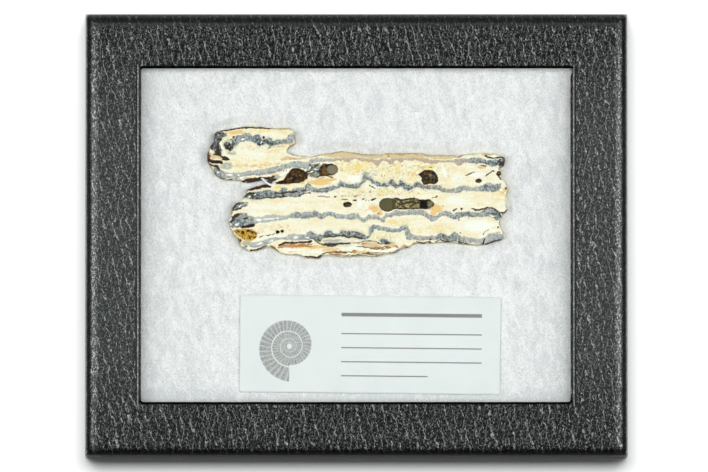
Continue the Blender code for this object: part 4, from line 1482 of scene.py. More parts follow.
# Round spots as dark as the lines: middle and radius.
SPOTS: Sequence[Place] = (
    (-30, 13.4, 0.27), (-23, 13.3, 0.28), (-22.7, 13.5, 0.2), (34, -8.3, 0.25),
    (24.3, -6.85, 0.18), (26.7, -6.2, 0.14), (22.4, -6.8, 0.1), (24.9, -9.7, 0.14),
    (18.95, -0.95, 0.22), (20.5, -3.1, 0.18), (25.1, -3.85, 0.22), (1.9, -1.8, 0.1),
    (2.6, -1.8, 0.12), (5.2, -1.4, 0.1), (2.9, 0.2, 0.13), (5.3, 0.4, 0.09), (4.4, 0.9, 0.08),
    (7.8, 6.2, 0.1), (10.8, 6.5, 0.13), (10.1, 4.9, 0.1), (12.2, 4.7, 0.12), (-31.9, 10.9, 0.42),
    (-31.1, 10.5, 0.4), (-31.4, 11.6, 0.28), (-34, 10, 0.45), (-34, 11.2, 0.3), (-34.4, 14, 0.24),
    (-33.6, 14.4, 0.3), (-33.5, 12.9, 0.22), (-35.1, 11.3, 0.24), (34.6, 7, 0.35), (35, 6.7, 0.3),
    (34.2, 6.5, 0.2), (-23.7, 11.4, 0.2), (9.6, -13.2, 0.2), (-30.4, 10.9, 0.25),
    (-27.9, -9.6, 0.35), (-26.7, -9.3, 0.3), (-25.5, -9.6, 0.28), (-28.9, -9.5, 0.2),
    (-26.2, -11.1, 0.22), (-25, -10.9, 0.16), (-27.1, -9.9, 0.16), (-28.5, -11.6, 0.24),
)

# Soft stains, each as Blot takes it; the pale ones include painted glints and glare.
STAINS: dict[Mask, Sequence[Sequence[float]]] = {
    Mask.CEMENT: (
        (7.5, 5, 7, 2.6), (3, 6, 5, 2), (14, 5.6, 4.5, 2.4, 0.9), (21, 5.6, 4, 2, 0.4),
        (-3, 6.4, 4, 1.6, 0.7), (6, 0.2, 4, 1), (12, -0.2, 4, 0.8, 0.6), (0, -0.6, 5, 0.7, 0.4),
        (6, -10.6, 4, 1, 0.6), (10, -7.4, 5, 1.2, 0.4), (1.5, -14.6, 5, 0.8, 0.6),
    ),
    Mask.CLOUD: (
        (-30.8, 9.6, 1.6, 0.5, 0.8), (-31.8, 6.4, 2, 1.2, 0.8), (-29.5, 11.8, 1, 0.5, 0.9, 25),
        (-10.8, 5.8, 1.7, 1.5, 1, 10), (-11, 4.1, 1.2, 0.5), (-19.8, 3.8, 1.3, 0.7),
        (-27.5, -2.9, 1.2, 0.5, 0.8, 15), (-27, -12.4, 1.6, 0.9, 0.9),
        (-16.5, -0.6, 2.6, 0.5, 0.6), (1.6, 4.6, 1.1, 0.6, 0.8), (4.2, 4.8, 1.6, 1, 0.4),
        (-24, -12.6, 2.5, 0.7, 0.8, 10), (-6, -11.6, 3.5, 0.35, 0.8), (2, -11.8, 2.4, 0.3, 0.6),
        (33.6, 1.4, 1.4, 0.9, 0.6), (33.8, -9.9, 1, 0.5, 0.6), (-28.5, 3.4, 4, 0.35, 0.7, 2),
        (-16.4, 12.9, 0.9, 0.9, 0.8), (-32.4, -7, 1, 1, 0.6),
    ),
    Mask.GOLD: (
        (-34.2, 8.8, 1.7, 0.6, 0.95, -10), (-27.4, -10.4, 3.4, 1.7, 0.6),
        (-0.2, 6.3, 1.4, 1.2, 0.9), (-2, 5.4, 3, 1.2, 0.5), (2.2, 7, 2, 0.8, 0.5),
        (-13.4, 2.4, 1, 0.5), (17.2, 6.3, 1.8, 0.6), (-25, 7.6, 7, 1.8, 0.42),
        (8.6, -7, 1.4, 0.8, 0.6), (14, -9.2, 2.4, 1.2, 0.45), (18, -8.6, 5, 0.9, 0.4),
        (22.5, -8.6, 1.5, 0.6, 0.5), (32.5, -3.6, 1.6, 0.3, 0.6), (21, 6.6, 1.2, 0.6, 0.4),
        (-19.6, 1.3, 1.3, 0.4, 0.9, 10), (12.8, 3.8, 1.6, 1.4, 0.5), (-24, 15, 7, 0.7, 0.6),
        (9.6, 5.8, 1.2, 0.8, 0.5), (34.8, -0.4, 1.2, 0.4, 0.8, -12), (6.5, 0.1, 2.6, 0.5, 0.5),
        (-21.5, 8, 4, 0.7, 0.35, 3), (-18, -9, 4, 1, 0.3), (-12, -7.9, 6, 0.9, 0.3),
        (31, -0.6, 4, 0.3, 0.5), (25.5, -0.7, 4, 0.25, 0.35),
    ),
    Mask.PEACH: (
        (-9.2, 2.6, 3.6, 0.95, 1, 3), (-6.6, 3.1, 1.8, 0.6, 1, 5), (18.8, -3.9, 1.8, 1.4),
        (18.2, -5, 0.9, 0.8), (4, -3.9, 2, 1.3, 0.8, -20), (5.2, -5.2, 1.2, 0.6, 0.8),
        (-22.5, 6.7, 5.5, 0.55, 0.7, 3), (-27, 6.3, 4, 0.9, 0.5),
        (-26.5, 10.9, 3.5, 0.8, 0.45, -4), (-20.5, 9.9, 2.5, 0.6, 0.4),
        (-19.5, -8.4, 4.5, 0.9, 0.45), (-24.5, -9.4, 2.6, 0.9, 0.55),
        (-29.4, 14.6, 2.6, 0.6, 0.85, 5), (-17.2, 11.9, 1.1, 0.4, 0.9), (-10, -13.2, 4, 0.5, 0.8),
        (-6.5, -13.8, 2.5, 0.4), (7.6, -12.9, 1.8, 0.5, 1, 10), (10, 9, 4, 0.4),
        (7, 9.1, 1, 0.4, 0.8), (24.5, 8.5, 1.2, 0.25, 1, 20), (30.5, 9.2, 1.2, 0.35, 1, -10),
        (-14.5, -12.9, 3.5, 0.6), (14.5, 9, 2, 0.4), (35.4, 0.6, 0.6, 0.6, 0.8),
        (-20.5, -13.3, 0.9, 0.5), (0.5, 0, 2.5, 0.5, 0.35), (16.2, 0.3, 1, 0.3, 0.6),
        (1, -4.4, 2.5, 0.6, 0.45), (-17.5, 1.9, 2, 0.3, 0.6), (-30.6, -4.8, 0.6, 0.6, 0.7),
        (13.5, 4.4, 1, 0.6, 0.6),
    ),
    Mask.OCHRE: (
        (-28.4, -11.6, 1.3, 1, 0.8), (2, -0.3, 9, 1.2, 0.3), (-8, -14.3, 6, 0.5, 0.6),
        (6, -13.6, 4, 0.5, 0.6), (-27, -9.4, 4, 1.2, 0.3), (-2.6, 9.2, 7.6, 0.95),
        (3.4, 8.9, 4, 0.7), (12, 8.9, 12, 0.75), (20.5, 8.6, 4.6, 0.6), (-16.6, 8.4, 1.9, 0.5),
        (-14, 8.25, 1.8, 0.35), (-18, 8.1, 1, 0.4), (-35, 8.9, 1.2, 0.8),
        (-33, 8.4, 1.3, 0.4, 1, -10), (-19.2, 11.15, 2.4, 0.24, 1, 4),
        (-16.3, 11.8, 1, 0.5, 0.9, 25), (-18.5, 15.35, 3, 0.22), (-32, 14.85, 1.2, 0.25, 0.9),
        (-31.6, 12.7, 0.6, 0.4), (30, 6.2, 1.6, 0.45, 0.9, -5), (15.5, 6, 1, 0.5, 0.8),
        (3, -12.8, 3.4, 0.8, 1, -5), (0.4, -14.5, 1.6, 0.5), (3.8, -14.9, 2.4, 0.35),
        (-5, -14.7, 3, 0.35), (11.4, -12.9, 1.5, 0.4), (-15.8, -14.3, 1.2, 0.3, 0.8),
        (34.6, 0.1, 1, 0.3, 0.9, -20), (35.7, 1, 0.4, 0.4, 0.8), (-20.4, 4.35, 0.8, 0.3, 0.9),
        (28.5, 9.1, 2.2, 0.3, 0.6, 4), (-28.6, -10.2, 1.2, 0.8, 0.8), (17.3, -0.1, 1.4, 0.2, 0.5),
    ),
    Mask.RUST: (
        (-17, -12.9, 2.8, 0.5, 0.85, 6), (-19, -13.2, 1, 0.4, 0.8), (-13.5, -12.9, 3, 0.35),
        (10.5, 9.15, 1.8, 0.22, 0.7), (14.5, 9.15, 1.4, 0.22, 0.6), (-0.9, -14.3, 0.6, 0.45, 0.9),
        (6.4, -13.6, 2.2, 0.2, 0.8, 8), (-36, 8.9, 0.5, 1.1, 0.8), (7.4, 8.9, 0.5, 0.2, 0.8, -30),
        (-16, 8.2, 1, 0.22, 0.8), (4.2, -13.3, 1.4, 0.25, 0.8), (1.5, -12.4, 1.6, 0.25, 0.7),
        (9, -13, 0.8, 0.3, 0.8), (-4.4, -14.5, 4, 0.3, 1, 2), (2.4, -15, 1.8, 0.16, 0.8),
        (-12.4, -12.5, 2, 0.2, 0.8, 2), (11.6, -13.1, 1, 0.2, 0.8, -8),
        (-8.6, 3.5, 1.6, 0.2, 0.6, 5),
    ),
    # Pale patches of the tissue; on the enamel, small painted glints and a patch of painted glare
    # by the brown cavity.
    Mask.PALE: (
        (-24.5, 9, 3, 0.9, 0.4), (-11.3, 4.9, 0.6, 0.2, 1, 20), (-10.2, 5.7, 0.5, 0.2, 1, -30),
        (-12, 4.2, 0.4, 0.2, 1, 10), (-11.6, 6.2, 0.4, 0.2, 0.9, 50), (-28.2, 3.55, 0.45, 0.35),
        (-31.2, 4.35, 1.1, 0.28, 0.8), (-29, 4.3, 0.3, 0.28, 0.9), (-33.9, 5.05, 0.32, 0.27),
        (-18, 4.6, 1.3, 0.38, 1, 25), (-16.9, 5.3, 0.5, 0.3, 0.9, 30),
        (-33, 11.3, 0.22, 1.4, 0.8, 12), (-33.5, 12.5, 0.3, 0.35), (-1, 3.4, 2.2, 1, 0.7),
        (0.5, -2.8, 0.8, 0.9, 0.8), (20.9, 5.2, 0.5, 2, 0.9, 15), (24.5, 3.6, 3, 1.6, 0.5),
        (29, 4.2, 3, 0.8, 0.6), (23.5, -2, 3, 1.2, 0.6), (29, -8.2, 4.5, 1.8, 0.7),
        (33, -9.3, 1, 0.5, 0.9), (-23.8, -12.3, 1, 0.28, 0.75, 8),
        (-21, -11.7, 0.8, 0.25, 0.7, 15), (-15, -10.8, 0.6, 0.3, 0.85),
        (-12.4, -10.9, 0.6, 0.3, 0.85), (-22, -3.6, 6, 1, 0.5), (-1.5, -13.4, 2.8, 0.28, 1, 3),
        (5, -14.1, 3, 0.25, 1, -2), (8.3, -13.7, 1.8, 0.32, 1, 15),
        (-16.5, -13.9, 2.2, 0.25, 0.9, -10), (-10, -14.4, 2.8, 0.35, 0.8),
        (-21, -6.3, 2.8, 0.26, 0.7, 4), (-24.2, -6.6, 1, 0.3, 0.9),
        (32.4, -5.7, 0.7, 0.22, 1, -20), (-29.4, -7.6, 0.7, 0.4, 0.7),
        (-26.3, -0.95, 0.4, 0.18, 1, 30), (-28.6, -3.3, 0.5, 0.2, 0.9, 20),
        (-31, -7.6, 0.25, 0.7, 1, 35), (-25, -0.4, 0.3, 0.12, 0.9),
        (-19.9, -0.2, 0.5, 0.12, 0.9, 20), (-17, 0.3, 0.4, 0.2),
        (-23.3, 12.2, 0.18, 0.35, 0.9, -30), (-30.9, 12.2, 0.3, 0.2),
        (-28, 12.9, 0.8, 0.2, 0.7, 10), (-26.4, -1.2, 0.25, 0.12), (6.2, 9, 0.5, 0.2, 0.6, -30),
    ),
    Mask.UMBER: (
        (-34.6, 7.5, 1.7, 0.35, 1, -8), (-33.8, 9.6, 0.8, 0.35, 1, -15),
        (-32.2, 8.15, 0.8, 0.2, 0.9, -8), (-25.6, 3.2, 2, 0.38, 1, 8),
        (-22.1, 3.4, 1.2, 0.25, 0.9, 5), (-24.7, 0.85, 2, 0.3, 1, 14),
        (-22.2, 1.4, 1.2, 0.22, 1, 8), (-29.4, -5.6, 1, 0.4, 1, 15),
        (-27.3, -6.3, 0.9, 0.25, 1, 10), (-26.2, -8.2, 1.5, 0.34, 1, 8),
        (-33.9, 9.5, 1.1, 0.4, 0.9, -15), (-28.5, -11.6, 0.3, 0.5, 0.8),
        (-21.3, 10.9, 0.7, 0.2, 0.8, 25), (-23.8, 11.5, 0.5, 0.25, 0.9), (4.9, -5, 0.3, 0.2, 0.8),
        (-36, 8.9, 0.22, 0.8, 0.8), (17.4, 6.15, 0.4, 0.16, 0.8), (30.6, 6.4, 0.8, 0.16, 0.8, -15),
        (11.2, -13.2, 1, 0.14, 0.8, -10), (7, -12.3, 0.7, 0.2, 0.8),
        (4.9, -12.1, 0.9, 0.2, 0.9, -20), (-18, 5.3, 0.35, 0.12, 1, 40),
        (-17.2, 5.35, 0.3, 0.1, 1, 40), (-29, -11.3, 0.3, 0.4, 0.7), (-31.6, -6.4, 0.3, 0.2),
        (-27, -12.9, 0.6, 0.15, 0.6, 20), (-30.6, 12.9, 1.2, 0.15, 0.7, 15),
        (0.6, -15.1, 1, 0.12, 0.8), (-8.8, 5, 0.9, 1.1, 0.9, 10), (33.6, -11.6, 1.4, 0.12, 0.7, 8),
    ),
}

# A low olive darkens a hollow with painted shade, as at the tunnel's deep end and the twin pits.
HOLLOWS = {
    "brown_cavity": Hollow(
        ((-20, 2.2), (-18.9, 2.75), (-18, 3.1), (-17.4, 4.1), (-16.6, 5.2), (-16, 5.8),
         (-15.2, 5.95), (-14.2, 5.85), (-13.2, 5.4), (-12.4, 4.9), (-12.1, 4.2), (-12.3, 3.4),
         (-13, 2.8), (-14.2, 2.35), (-16, 2.15), (-18.5, 2)),
        2.6, 0.6, -0.75,
    ),
    "upper_boring": Hollow(
        ((-9.6, 4.9), (-9.3, 5.8), (-8.6, 6.6), (-7.4, 6.9), (-6.3, 6.95), (-5.3, 6.6),
         (-4.85, 5.9), (-5, 5), (-5.6, 4.4), (-6.6, 4.05), (-7.8, 4.1), (-8.9, 4.25), (-9.4, 4.5)),
        1.3, 0.4, -0.85,
    ),
    "right_boring": Hollow(
        ((14.4, 4.3), (15.2, 4.9), (16, 5.45), (17, 5.55), (18.2, 5.35), (18.9, 4.6), (19.4, 3.6),
         (19.45, 2.7), (19, 2.2), (18.3, 2), (17.4, 2.2), (16.5, 1.9), (16, 1.8), (15.6, 2.35),
         (15.25, 3), (15.4, 3.7)),
        1.8, 0.4, -0.85,
    ),
    "tunnel": Hollow(
        ((8.2, -1.4), (9.4, -1.5), (10.6, -1.65), (12.5, -1.3), (14.4, -1.65), (16, -1.85),
         (17.3, -1.75), (18.05, -2.2), (18.3, -2.9), (17.95, -3.45), (17.2, -4), (16.2, -3.95),
         (14.4, -3.9), (12.8, -3.9), (11.2, -4.05), (10.2, -4.1), (9.3, -3.9), (8.2, -4.2)),
        1.5, 0.35, 0.85,
    ),
    "tunnel_deep_end": Hollow(((15, -1.8), (16.7, -2), (16.7, -3.8), (15, -3.75)), 3.2, 0.3, -1.2),
    "filled_boring": Hollow(oval(7.1, -2.95, 2.05, 1.7), 0.5, 0.3, 2),
    "middle_boring": Hollow(oval(-2.6, -2.9, 1.05, 0.68), 1.6, 0.3, -0.9),
    "far_boring": Hollow(oval(29.2, 2.85, 0.8, 0.52), 1.2, 0.25, -0.9),
    "edge_boring": Hollow(oval(34.05, 4.6, 0.6, 0.62, 12), 0.8, 0.2, -0.8, 0.2),
    "rim_boring": Hollow(oval(35.8, 1, 0.22, 0.4, 10), 0.5, 0.15, 0.2, 0.1, 0.8),
    "green_grains": Hollow(oval(-11.9, 5.3, 0.45, 0.5, 9), 0.25, 0.2, 0.85),
    "green_grains_low": Hollow(oval(-10.8, 4.2, 0.7, 0.3, 9), 0.25, 0.2, 0.85),
    "green_grains_high": Hollow(oval(-10.3, 6.5, 0.6, 0.3, 9), 0.25, 0.2, 0.85),
    "rusty_pit": Hollow(
        ((-30.3, -9.2), (-29, -8.9), (-27.2, -8.8), (-25.6, -9), (-24.6, -9.6), (-24.3, -10.4),
         (-24.9, -11.3), (-26.2, -11.8), (-27.4, -11.5), (-28.2, -10.9), (-29.4, -10.1)),
        0.7, 0.9, -2.4,
    ),
    "left_twin": Hollow(oval(-19.5, -9.5, 0.46, 0.4, 10), 1, 0.15, -1.2),
    "right_twin": Hollow(oval(-18.4, -9.4, 0.44, 0.36, 10), 1, 0.15, -1.2),
    "lobe_crevice": Hollow(
        ((-35.7, 7.75), (-34.8, 7.85), (-33.4, 7.55), (-33, 7.25), (-34.2, 7), (-35.4, 7.25)),
        0.8, 0.2, -1.1,
    ),
    "black_crevice": Hollow(
        ((-27.4, -8.45), (-26.8, -8.05), (-25.8, -7.9), (-24.8, -7.75), (-25, -8.15),
         (-25.9, -8.35), (-26.8, -8.55)),
        0.8, 0.2,
    ),
}

# Plugs and ledges of sediment inside the hollows; their depth is below the face too.
FILLINGS = {
    "upper_plug": Hollow(oval(-6.35, 5.55, 1.45, 1.25), 0.5, 0.25, 0, 0.95),
    "right_facet": Hollow(
        ((17, 5), (18.3, 4.9), (18.9, 4.2), (19, 3.3), (18.4, 2.95), (17.4, 2.95), (16.9, 3.5),
         (16.8, 4.3)),
        0.9, 0.4, 0.5, 0.45,
    ),
    "tunnel_plug": Hollow(oval(17.45, -2.95, 0.7, 0.85), 0.9, 0.2, 0, 0.85),
    "brown_ledge": Hollow(
        ((-17, 4.1), (-16.2, 5.1), (-14.9, 5.3), (-13.4, 4.7), (-12.8, 4), (-13.6, 3.4),
         (-15.6, 3.5)),
        1, 0.7, -0.6,
    ),
    "middle_light": Hollow(oval(-2.15, -3.05, 0.6, 0.42, 12), 0.5, 0.3, 0.5, 0.55),
    "far_light": Hollow(oval(29.5, 2.8, 0.4, 0.32, 12), 0.5, 0.2, 0.1, 0.6),
}


@dataclass
class ToothSlice:
    """The sawn slice: its polished face, its broken rim and its borings.

    Attributes:
        node: The solid that it stands for.
        middle_mm: Where its own middle lies in the case.
        cell_mm: The face's grid.
        profile: Rings of the rim, as depth below the face and how far each stands out.
        ragged_mm: How far the outline and the rim's rings stray.
        search_mm: The corners of the area that holds the slice.
    """

    node: str = "tooth_slice"
    middle_mm: Point = (0.4, 10.1)
    cell_mm: float = 0.17
    ragged_mm: float = 0.1
    profile: Sequence[Point] = (
        (0.04, 0.05), (0.3, 0.1), (1, 0.12), (2.1, 0.16), (3.4, 0.14), (4.6, 0.1), (5.6, 0.04),
        (6, -0.06),
    )
    search_mm: tuple[Point, Point] = ((-38, -17.5), (38, 17.5))

    def outlines(self) -> list[list[Point]]:
        """Reads the outline and the through hole from the solid's sawn underside.

        Returns:
            The loops, longest first, in the slice's own millimetres.
        """
        low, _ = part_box(self.node)
        mesh = bpy.data.objects[self.node].data
        numbers: dict[tuple[int, int], int] = {}
        places: list[Point] = []
        faces = []
        for face in mesh.polygons:
            corners = [mesh.vertices[i].co for i in face.vertices]
            if any(corner.z > low.z + 0.01 * MM for corner in corners):
                continue
            keys = []
            for corner in corners:
                x, y = corner.x / MM, corner.y / MM
                key = (round(x * 200), round(y * 200))
                if key not in numbers:
                    numbers[key] = len(places)
                    places.append((x - self.middle_mm[0], y - self.middle_mm[1]))
                keys.append(numbers[key])
            faces.append(tuple(keys))
        loops = [[places[i] for i in loop] for loop in border_loops(faces)]
        return sorted(loops, key=len, reverse=True)

    def inside(self, x: Array, y: Array) -> Array:
        """Distance inside the ragged outline, and outside its hole.

        Args:
            x: The points' first coordinates.
            y: Their second coordinates.

        Returns:
            The distance of each point, in millimetres.
        """
        outer, *holes = self._loops
        depth = signed_distance(x, y, outer)
        for hole in [*holes, CLEFT]:
            depth = np.minimum(depth, -signed_distance(x, y, hole))
        ragged = self.ragged_mm * ripple(x, y, 0.9, 3, 2.5) + 0.05 * ripple(x, y, 3.1, 2, 8)
        return depth + 0.08 + ragged

    def build(self) -> Object:
        """Builds the slice and its number attributes.

        Returns:
            The finished piece.
        """
        self._loops = self.outlines()
        _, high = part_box(self.node)
        top = high.z / MM
        points, faces = cut_sheet(self.inside, *self.search_mm, self.cell_mm)
        sunk, filled = self._sunk(points[:, 0], points[:, 1])
        shell = Shell()
        shell.add_points(zip(points[:, 0], points[:, 1], top - sunk))
        shell.faces.extend(faces)
        ends = [shell.hang(rim, self._rim_rings(points[rim], top)) for rim in border_loops(faces)]
        shell.cap(sorted(ends, key=len, reverse=True), up=False)
        x, y, _ = np.array(shell.points).T
        masks = self._masks(x, y)
        masks[Mask.SIDE] = (np.arange(len(x)) >= len(points)).astype(float)
        masks[Mask.RIM] = np.clip(self.inside(x, y), 0, 3)
        for mask, values in filled.items():
            masks[mask] = np.pad(values, (0, len(x) - len(points)))
        shell.to_metres(self.middle_mm)
        piece = shell.object("polished_tooth_slice", PolishedTooth("polished_tooth"), 50)
        for mask, values in masks.items():
            mark(piece, mask.value, values)
        return fit_out(piece, "fossil_tooth", self.node)

    def _rim_rings(self, rim: Array, top: float) -> list[list[Place]]:
        """Rings of the broken wall below one loop of the face's rim.

        Args:
            rim: The loop's points, with the slice's material on its left.
            top: The face's height.

        Returns:
            The rings, from the highest to the sawn underside.
        """
        x, y = rim.T
        step = 0.05
        slope_x = self.inside(x + step, y) - self.inside(x - step, y)
        slope_y = self.inside(x, y + step) - self.inside(x, y - step)
        steepness = np.maximum(np.hypot(slope_x, slope_y), 1e-6)
        out_x, out_y = -slope_x / steepness, -slope_y / steepness
        rings = []
        for below, out in self.profile:
            rough = self.ragged_mm * ripple(x, y, 0.7, 3, below * 1.7)
            calm = 1.0 if below < self.profile[-1][0] else 0.3
            reach = out + rough * min(1.0, below) * calm
            heights = np.full(len(x), top - below)
            rings.append(list(zip(x + out_x * reach, y + out_y * reach, heights)))
        return rings

    def _sunk(self, x: Array, y: Array) -> tuple[Array, dict[Mask, Array]]:
        """How far each point of the face is sunk, and what fills it there.

        Args:
            x: The points' first coordinates.
            y: Their second coordinates.

        Returns:
            The depth, and the value of each mask that a filling sets.
        """
        depth, hollows, olive, grey = np.zeros((4, len(x)))
        rough = 0.5 + 0.5 * ripple(x, y, 1.6, 3, 4)
        frayed = 0.1 * ripple(x, y, 1.9, 2, 6)
        for hollow in HOLLOWS.values():
            near = signed_distance(x, y, hollow.outline) + frayed
            floor = hollow.depth * (0.82 + 0.18 * rough)
            depth = np.maximum(depth, ease(near, 0, hollow.wall) * floor)
            hollows = np.maximum(hollows, ease(near, -0.05, 0.12) * hollow.shade)
            olive = np.where(near > -0.1, hollow.olive, olive)
            grey = np.where(near > -0.1, hollow.grey, grey)
        for filling in FILLINGS.values():
            near = signed_distance(x, y, filling.outline) + 0.6 * frayed
            fill = ease(near, 0, filling.wall)
            depth = depth * (1 - fill) + np.minimum(depth, filling.depth) * fill
            olive = olive * (1 - fill) + filling.olive * fill
            grey = grey * (1 - fill) + filling.grey * fill
        return depth, {Mask.HOLLOW: hollows, Mask.OLIVE: olive, Mask.GREY: grey}

    def _masks(self, x: Array, y: Array) -> dict[Mask, Array]:
        """Works out the enamel, the stains and the lines at each point.

        Args:
            x: The points' first coordinates.
            y: Their second coordinates.

        Returns:
            The masks' values.
        """
        x, y = (
            place + 0.26 * ripple(x, y, 0.55, 2, seed) + 0.15 * ripple(x, y, 2.1, 2, seed + 3)
            for place, seed in ((x, 12), (y, 21))
        )
        masks = self._enamel(x, y)
        for mask, rows in STAINS.items():
            masks[mask] = np.max([Blot(*row).spread(x, y) for row in rows], axis=0)
        crack = np.full(len(x), -2.0)
        for half_width, courses in LINES.items():
            for course in courses:
                crack = np.maximum(crack, half_width + 0.05 - trace_distance(x, y, course))
        for spot_x, spot_y, radius in SPOTS:
            crack = np.maximum(crack, 1.15 * radius - np.hypot(x - spot_x, y - spot_y))
        masks[Mask.CRACK] = crack
        return masks

    @staticmethod
    def _enamel(x: Array, y: Array) -> dict[Mask, Array]:
        """How deep each point lies in a ribbon of enamel, and the ribbon's tone there.

        Args:
            x: The points' first coordinates.
            y: Their second coordinates.

        Returns:
            The four masks of the enamel.
        """
        inside = np.full(len(x), -9.0)
        across, slate, mauve = np.zeros((3, len(x)))
        for ribbon in RIBBONS.values():
            depth, height = ribbon.lie(x, y)
            deeper = depth > inside
            inside = np.where(deeper, depth, inside)
            across = np.where(deeper, height, across)
            slate = np.where(deeper, np.interp(x, *zip(*ribbon.slate)), slate)
            mauve = np.where(deeper, np.interp(x, *zip(*ribbon.mauve)), mauve)
        return {
            Mask.ENAMEL: np.maximum(inside, -3), Mask.ACROSS: across,
            Mask.SLATE: slate, Mask.MAUVE: mauve,
        }


# ---------------------------------------------------------------------------
# The fibre pad
# ---------------------------------------------------------------------------


@dataclass(frozen=True)
class LabelPlace:
    """Where the label lies on the pad, in the case's millimetres."""

    middle: Point = (3.3, -26.7)
    half_length: float = 31.5
    half_width: float = 11.8
    turn_deg: float = -0.6

    def outside(self, x: Array, y: Array) -> Array:
        """Distance outside the card's edge, negative on it.

        Args:
            x: The points' first coordinates.
            y: Their second coordinates.

        Returns:
            The distance of each point, in millimetres.
        """
        turn = math.radians(self.turn_deg)
        x, y = x - self.middle[0], y - self.middle[1]
        far_x = np.abs(x * math.cos(turn) + y * math.sin(turn)) - self.half_length
        far_y = np.abs(y * math.cos(turn) - x * math.sin(turn)) - self.half_width
        apart = np.hypot(np.maximum(far_x, 0), np.maximum(far_y, 0))
        return apart + np.minimum(np.maximum(far_x, far_y), 0)


